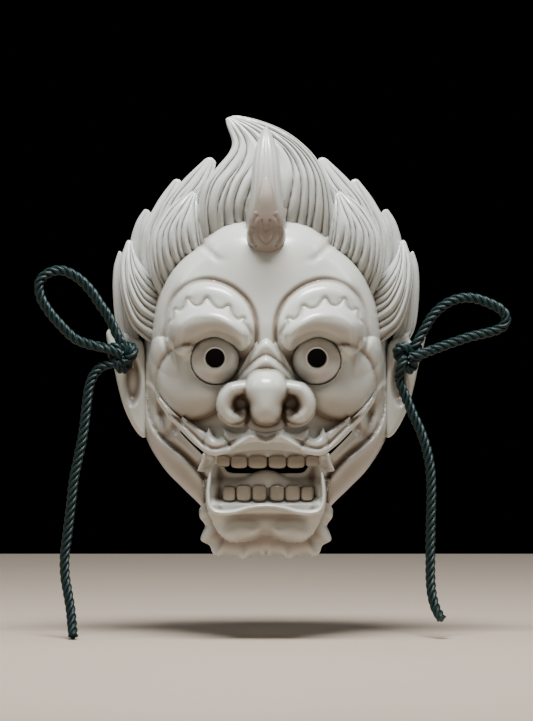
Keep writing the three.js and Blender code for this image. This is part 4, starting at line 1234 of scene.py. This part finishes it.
def lock_piece(name, lock, side):
    """Rings of points from root to tip: strands over the front, plain round the back."""
    rows = np.linspace(0, 1, LOCK_ROWS) ** 0.92
    guides = [spread_along(guide, rows) for guide in lock["guides"]]
    depth, hump, thick = (spread_along(lock[key], rows)[:, 0] for key in ("depths", "hump", "thick"))
    width = max(np.linalg.norm(guides[-1] - guides[0], axis=1))
    u = np.linspace(0, 1, int(width / COLUMN_STEP))
    swell = np.sqrt(np.clip(1 - (2 * u - 1) ** 2, 0, 1))
    draw = np.random.default_rng(lock["seed"])
    strands = lock["strands"]
    grooves = (np.arange(1, strands) + draw.uniform(-0.26, 0.26, strands - 1)) / strands
    begins = np.where(np.arange(1, strands) % 2 == 0, -1.0, draw.uniform(-0.5, 0.12, strands - 1))
    long_ends, short_ends = draw.uniform(0.93, 1.1, strands - 1), draw.uniform(0.5, 0.85, strands - 1)
    ends = np.where(np.arange(1, strands) % 2 == 0, long_ends, short_ends)
    rings = []
    for i, v in enumerate(rows):
        across = through_points([guide[i] for guide in guides], 24)
        at = np.linspace(0, 1, len(across))
        place = np.stack([np.interp(u, at, across[:, k]) for k in range(2)], 1)
        span = np.linalg.norm(np.diff(across, axis=0), axis=1).sum()
        middle = across[len(across) // 2]
        closing = math.sqrt(max(1e-4, 1 - max(0.0, (v - 0.955) / 0.045) ** 2)) if v > 0.955 else 1.0
        place = middle + (place - middle) * closing
        relief = np.ones(len(u))
        fine = np.ones(len(u))
        for k, (g, start, end) in enumerate(zip(grooves, begins, ends)):
            strength = float(smoothstep(v, start, start + 0.2) * smoothstep(-v, -end, -end + 0.22))
            wander = g + 0.012 * math.sin(7 * v + 2.1 * k)
            aside = np.abs(u - wander) * span * closing
            relief = np.minimum(relief, 1 - strength * (1 - rounded(aside, 2.9)))
            fine = np.minimum(fine, 1 - rounded(0.5 - np.abs(aside - 1.3), 0.5))
        cut = lock["cut"] * (0.45 + 0.55 * swell) * float(smoothstep(1.0 - v, 0.0, 0.30) * 0.8 + 0.2)
        front_depth = depth[i] + hump[i] * swell * closing + cut * (relief - 1) + 0.16 * (fine - 1)
        front_depth = np.maximum(front_depth, hollow_depth(place[:, 0], place[:, 1]) + FRONT_CLEAR)
        front = np.stack([place[:, 0], front_depth, place[:, 1]], 1)
        b = np.linspace(0.95, 0.05, LOCK_BACK_COLUMNS)
        rear = np.stack([np.interp(b, u, place[:, k]) for k in range(2)], 1)
        wall = hollow_depth(rear[:, 0], rear[:, 1]) + REAR_CLEAR
        deep = np.maximum(np.minimum(depth[i] - thick[i] * (0.3 + 0.7 * closing), depth[i] - 1), wall)
        back = np.stack([rear[:, 0], deep, rear[:, 1]], 1)
        rings.append(np.vstack([front, back]) * (side, 1, 1))
    return ringed_solid(name, rings)


# Its deep colour is the painted shade in the valleys between the strands and at the roots.
hair_white = gofun_material("hair_white", (0.57, 0.575, 0.54), (0.19, 0.175, 0.145), 0.30)


def root_shade(x, z):
    """The locks are darkest where they come out from behind the forehead."""
    return 0.5 * smoothstep(inward(np.abs(x), z, outline_line(mirrored(FOREHEAD))), -17, 0)


crown = lock_piece("visual_crown_lock", CROWN_LOCK, 1)
paint_shade(crown, 5, 0.9, root_shade)
stand_for(crown, "crown_lock", hair_white)
for name, lock in SIDE_LOCKS.items():
    for word, side in SIDES:
        piece = lock_piece(f"visual_{word}_{name}", lock, side)
        paint_shade(piece, 5, 0.9, root_shade)
        stand_for(piece, f"{word}_{name}", hair_white)

# ---------------------------------------------------------------------------------- moustache
# The upper lip is carved as two mirrored halves that meet under the nose. Its upper edge breaks
# into curled points, and a bright raised lip line runs along its lower edge to the slits.
MOUSTACHE = [
    (0, -45.7), (5, -45.2), (8.6, -44), (10.4, -42.5), (12.4, -45.6), (16.5, -46.9), (21, -46.6),
    (26.8, -43.6), (26.2, -47.2), (29.4, -50.4), (32.8, -48.4), (35.2, -43.2), (37.2, -46.6),
    (45, -41.4), (51.6, -36.9), (53.2, -38.0), (60, -31.5), (65, -26), (67.8, -21), (69.3, -22),
    (67.2, -28.6), (61.8, -36.6), (55.2, -43.6), (47.5, -50.4), (41.6, -56.2), (36.4, -59.9),
    (31, -60.8), (25, -59.4), (18.8, -55.8), (13, -52.4), (9, -50.4), (5.6, -51.2), (0, -52.8),
]
MOUSTACHE_TIPS = {3, 7, 11, 14, 18, 19}
LIP_LINE = [
    (0, -51.8), (5.8, -50), (9, -49), (12.8, -50.7), (19, -54.3), (25.5, -57.8), (32, -59), (38, -57),
    (43.2, -53), (49.2, -46.8), (56, -40.2), (62, -33.6), (67, -26.8),
]
# Each leaf: its outline, how far it stands out, how wide its edges are rounded, and its pointed ends.
LEAVES = [
    ([
        (-8, -46), (0, -45.7), (5, -45.2), (8.6, -44), (10.4, -42.5), (12.2, -46), (14.5, -53),
        (9, -55), (5.5, -56), (0, -57), (-8, -55),
    ], 5.6, 3.2, {4}),
    ([
        (10.4, -42.5), (12.4, -45.6), (16.5, -46.9), (21, -46.6), (26.8, -43.6), (26.2, -47.4),
        (25.0, -54), (22, -61), (12, -58), (8.6, -50),
    ], 5.0, 3.4, {0, 4}),
    ([
        (35.2, -43.2), (32.8, -48.4), (29.4, -50.4), (26.2, -48.8), (22.0, -52.4), (19, -62), (32, -66),
        (41, -61), (39.2, -52), (37.2, -46.6),
    ], 7.6, 4.6, {0}),
    ([(51.6, -36.9), (45, -41.4), (37.6, -46.2), (36.4, -52), (38, -62), (49, -55), (57, -45),
      (54.4, -40.6)], 5.6, 3.6, {0}),
    ([(67.8, -21), (62, -29.4), (56, -35.4), (50.4, -41), (50.6, -46), (54, -51), (63, -41),
      (71, -31), (68.6, -25)], 4.6, 3.0, {0}),
]
moustache_edge = scalloped_line(MOUSTACHE, MOUSTACHE_TIPS, 7)


def moustache_depth(x, z):
    ax = np.abs(x)
    lip, _ = curve_distance(ax, z, LIP_LINE, 7)
    rise = np.full(x.shape, 0.6)
    for outline, height, width, tips in LEAVES:
        leaf = inward(ax, z, scalloped_line(outline, tips, 5))
        proud = 3.0 + (1.15 * height - 2.0) * rounded(leaf, 1.25 * width)
        rise = np.maximum(rise, np.where(leaf > 0, proud, 0))
    rise -= 1.6 * bell(lip - 2.6, 1.3) * (rise > 2)
    ridge = 5.0 + 2.8 * np.sqrt(np.clip(1 - (lip / 1.4) ** 2, 0, 1))
    return seat(x, z) + np.maximum(rise, np.where(lip < 1.4, ridge, 0)) + 1.2


for word, side in SIDES:
    carved_piece(
        f"{word}_moustache", "gofun", gofun, moustache_edge * (side, 1), moustache_depth,
        seated(lambda x, z: seat(x, z) - 9), 0.5,
    )

# ---------------------------------------------------------------------------------- mouth
# Inside the lips: the sloping underside of the upper lip with its gum, two rows of separately
# carved teeth, the floor of the mouth with the lower gum, and the arched tongue.
TOOTH_GAP = 0.16
UPPER_BOUNDS = {"left": (0.9, -11.2, -21.9, -30.6), "right": (1.3, 12.8, 24.1, 33.2)}
LOWER_BOUNDS = {"left": (0.6, -8.8, -18.6, -27.0), "right": (2.0, 11.5, 21.3, 29.6)}
UPPER_SPAN = (-68.6, -60.6)
LOWER_SPAN = (-88.8, -78.8)
UPPER_GUM = [
    (0, -52.4), (5.8, -50.6), (9, -49.8), (12.8, -51.6), (19, -55.2), (25.5, -58.8), (32, -60),
    (36, -59.4), (36.4, -63), (34.2, -66.6), (24, -64.6), (12, -62.6), (0, -61.8),
]
LOWER_GUM = [
    (0, -72.2), (12, -72.2), (22, -72.0), (25.4, -69.6), (27.4, -66), (34.6, -65), (35.6, -90),
    (33.5, -96), (20, -97), (0, -94),
]
TONGUE = [(0, -69.9), (5.5, -70.9), (11, -73.4), (16, -76.2), (21.5, -78.0), (20, -80.5), (0, -80.5)]


def arch_bend(x):
    return 8.5 * (x / 33.0) ** 2


def tooth_piece(name, x0, x1, z0, z1, front, square):
    cx, cz = (x0 + x1) / 2, (z0 + z1) / 2
    half_w, half_h = abs(x1 - x0) / 2 - TOOTH_GAP / 2, (z1 - z0) / 2
    turn = np.linspace(0, 2 * math.pi, 64, endpoint=False)
    bend = 2 / square
    edge = np.stack([
        cx + half_w * np.sign(np.cos(turn)) * np.abs(np.cos(turn)) ** bend,
        cz + half_h * np.sign(np.sin(turn)) * np.abs(np.sin(turn)) ** bend,
    ], 1)

    def crown_depth(x, z):
        inset = inward(x, z, edge)
        bulge = 1 - 0.5 * ((x - cx) / half_w) ** 2 - 0.35 * ((z - cz) / half_h) ** 2
        return front - arch_bend(x) - 3.6 + 2.0 * rounded(inset, 1.5) + 1.6 * bulge

    return carve(name, edge, crown_depth, lambda x, z: front - arch_bend(x) - 8.5, 0.45)


# Painted shade: the teeth's white is given as the dim brown-grey it shows in the shade inside the mouth.
teeth_in_shade = gofun_material("polished_tooth_white", (0.31, 0.26, 0.20), (0.12, 0.075, 0.045), 0.33)
for row, bounds, (z0, z1), front, square in (
    ("upper", UPPER_BOUNDS, UPPER_SPAN, 70.5, 3.4), ("lower", LOWER_BOUNDS, LOWER_SPAN, 68.0, 3.8),
):
    for word, _ in SIDES:
        for k in range(3):
            near, far = bounds[word][k], bounds[word][k + 1]
            shorter = 0.8 if k == 2 else 0.0
            node = f"{row}_{word}_tooth_{k + 1}"
            low, high = z0 + shorter * (row == "upper"), z1 - shorter * (row == "lower")
            tooth = tooth_piece("visual_" + node, near, far, low, high, front, square)
            paint_shade(tooth, 2)
            stand_for(tooth, node, teeth_in_shade)


def upper_gum_depth(x, z):
    return 66.8 - arch_bend(x) + 0.5 * (z + 62)


def lower_gum_depth(x, z):
    ax = np.abs(x)
    wall = smoothstep(ax, 27.5, 34.5)
    gum = smoothstep(-z, 86.5, 91.5)
    hollow = 56 + 4.0 * smoothstep(-z, 74, 80) - arch_bend(x)
    return hollow + 8.5 * gum + 9.0 * wall


def tongue_depth(x, z):
    edge, _ = curve_distance(np.abs(x), z, TONGUE[:5], 7)
    return 58.5 + 6.5 * rounded(edge, 8) - 0.10 * np.abs(x)


for node, outline, front, back, step in (
    ("upper_gum", UPPER_GUM, upper_gum_depth, seated(lambda x, z: seat(x, z) - 14), 0.7),
    ("lower_gum", LOWER_GUM, lower_gum_depth, lambda x, z: 44 - arch_bend(x), 0.7),
    ("tongue", TONGUE, tongue_depth, level(52), 0.6),
):
    carved_piece(node, "gofun", gofun, outline_line(mirrored(outline), 6), front, back, step)

# The flared tips that close the mouth at each corner, below the ends of the upper lip.
CORNER_FANG = [
    (33.2, -60.2), (36.4, -59.6), (39.0, -59.6), (40.2, -64.5), (42.6, -70.6), (38.4, -71.2),
    (34.4, -69.6), (31.6, -67.0), (31.0, -62),
]
FANG_TIPS = {4}
fang_edge = scalloped_line(CORNER_FANG, FANG_TIPS, 7)


def fang_depth(x, z):
    ax = np.abs(x)
    edge = inward(ax, z, fang_edge)
    ridge, _ = line_distance(ax, z, [(38.2, -60), (39.6, -65), (42.4, -70.4)])
    slope = 60.5 + 0.45 * (z + 60)
    return slope + 3.6 * rounded(edge, 3.6) + 1.6 * bell(ridge, 1.3) - 0.42 * (38 - ax)


for word, side in SIDES:
    carved_piece(
        f"{word}_corner_fang", "teeth", gofun, fang_edge * (side, 1), fang_depth, level(56), 0.45,
    )

# The bright lower lip: one bent lath, rounded on top, that frames the teeth on three sides.
LOWER_LIP = [
    (0, -91.3), (10, -92.6), (19, -95.2), (27, -95.9), (32.4, -94.6), (35.0, -90.6), (35.6, -84),
    (35.0, -77), (34.2, -71.4),
]
LIP_DEPTHS = (73.5, 73.2, 72.4, 71.2, 70.2, 69.4, 68.4, 67.2, 66.0)
LIP_HALF_WIDTHS = (1.55, 1.6, 1.7, 1.8, 1.75, 1.6, 1.45, 1.35, 1.0)
LIP_SECTION = 20


def lower_lip_piece():
    half = np.column_stack([np.array(LOWER_LIP), LIP_DEPTHS, LIP_HALF_WIDTHS])
    whole = np.vstack([half[:0:-1] * (-1, 1, 1, 1), half])
    line = through_points(whole, 12)
    ahead = np.gradient(line[:, :2], axis=0)
    ahead /= np.linalg.norm(ahead, axis=1)[:, None]
    turn = np.linspace(0, 2 * math.pi, LIP_SECTION, endpoint=False)
    rings = []
    for (x, z, depth, half_width), (ux, uz) in zip(line, ahead):
        out = half_width * np.cos(turn)
        rise = 4.6 * np.sin(turn)
        rings.append(np.stack([x - uz * out, depth - 3.2 + rise, z + ux * out], 1))
    return ringed_solid("visual_lower_lip", rings)


lower_lip = lower_lip_piece()
paint_shade(lower_lip)
stand_for(lower_lip, "lower_lip", gofun)

# ---------------------------------------------------------------------------------- chin frill
# A wavy beard that stands out behind the jaw like a ruff, with a soft ridge running in from each
# of its points.
FRILL = [
    (0, -122.6), (5, -123.6), (9.5, -124.4), (13.8, -126.8), (18.6, -124.6), (24.6, -124.2),
    (31.6, -125.0), (34.0, -121.4), (35.4, -118.0), (41.4, -114.6), (39.8, -109.6), (38.2, -105.4),
    (42.0, -99.6), (41.6, -95.0), (38.0, -91.0), (30, -90), (26, -98), (16, -104), (0, -104),
]
FRILL_TIPS = {3, 6, 9, 12}
FRILL_RIDGES = [
    [(13.8, -127), (9.5, -119)],
    [(31.6, -125.2), (24, -116)],
    [(42.4, -113.9), (33, -107)],
    [(42.6, -98.8), (35, -97)],
]
frill_half = scalloped_line(FRILL, FRILL_TIPS, 7, 1.6)
frill_rim = frill_half[: 17 * 7]  # the free edge, without the part behind the chin


def frill_depth(x, z):
    ax = np.abs(x)
    edge, _ = line_distance(ax, z, frill_rim)
    d = 32 + 6.0 * smoothstep(-ax, -40, -14) + 5.5 * rounded(edge, 4.5)
    for line in FRILL_RIDGES:
        ridge, t = line_distance(ax, z, line)
        d += 2.4 * bell(ridge, 3.8) * (1 - 0.5 * t)
    return d + 2.0 * smoothstep(edge, 3, 12)


one_side = frill_half[: 22 * 7 + 1]
frill_edge = np.vstack([one_side, (one_side[1:] * (-1, 1))[::-1]])
# Painted shade under the chin: the frill darkens away from its free edge, towards the chin.
carved_piece(
    "chin_frill", "gofun", gofun, frill_edge, frill_depth, seated(level(24)), 0.6, strength=0.45,
    wash=lambda x, z: 0.85 * smoothstep(line_distance(np.abs(x), z, frill_rim)[0], 3.5, 8.5),
)

# ---------------------------------------------------------------------------------- ears
# Pointed ears with a hollowed bowl, pegged to the sides of the block behind the cheeks. The tie
# cord goes through a hole drilled in the upper part of each.
EAR = [
    (75.5, -49), (75, -30), (75.5, -8), (77.5, 8), (84, 12.8), (92.4, 17.4), (90.4, 12.6), (93.0, 9.0),
    (96.4, 12.4), (98.8, 18.6), (101.0, 14.4), (99.4, 6.0), (96.2, -6), (93.6, -18), (90.0, -31),
    (85.0, -42), (79.5, -49.6),
]
EAR_TIPS = {5, 9}
EAR_HOLE = (87.6, 3.4)
ear_edge = scalloped_line(EAR, EAR_TIPS, 7)


def ear_depth(x, z):
    ax = np.abs(x)
    edge = inward(ax, z, ear_edge)
    d = 15.5 + 4.5 * rounded(edge, 3.4) - 0.12 * (ax - 78)
    return d - 7.0 * smoothstep(-np.hypot((ax - 84.2) / 5.6, (z + 15.5) / 15.5), -1.15, -0.55)


for word, side in SIDES:
    carved_piece(
        f"{word}_ear", "gofun", gofun, ear_edge * (side, 1), ear_depth, level(6), 0.7,
        [circle((side * EAR_HOLE[0], EAR_HOLE[1]), 3.9, 40)],
    )
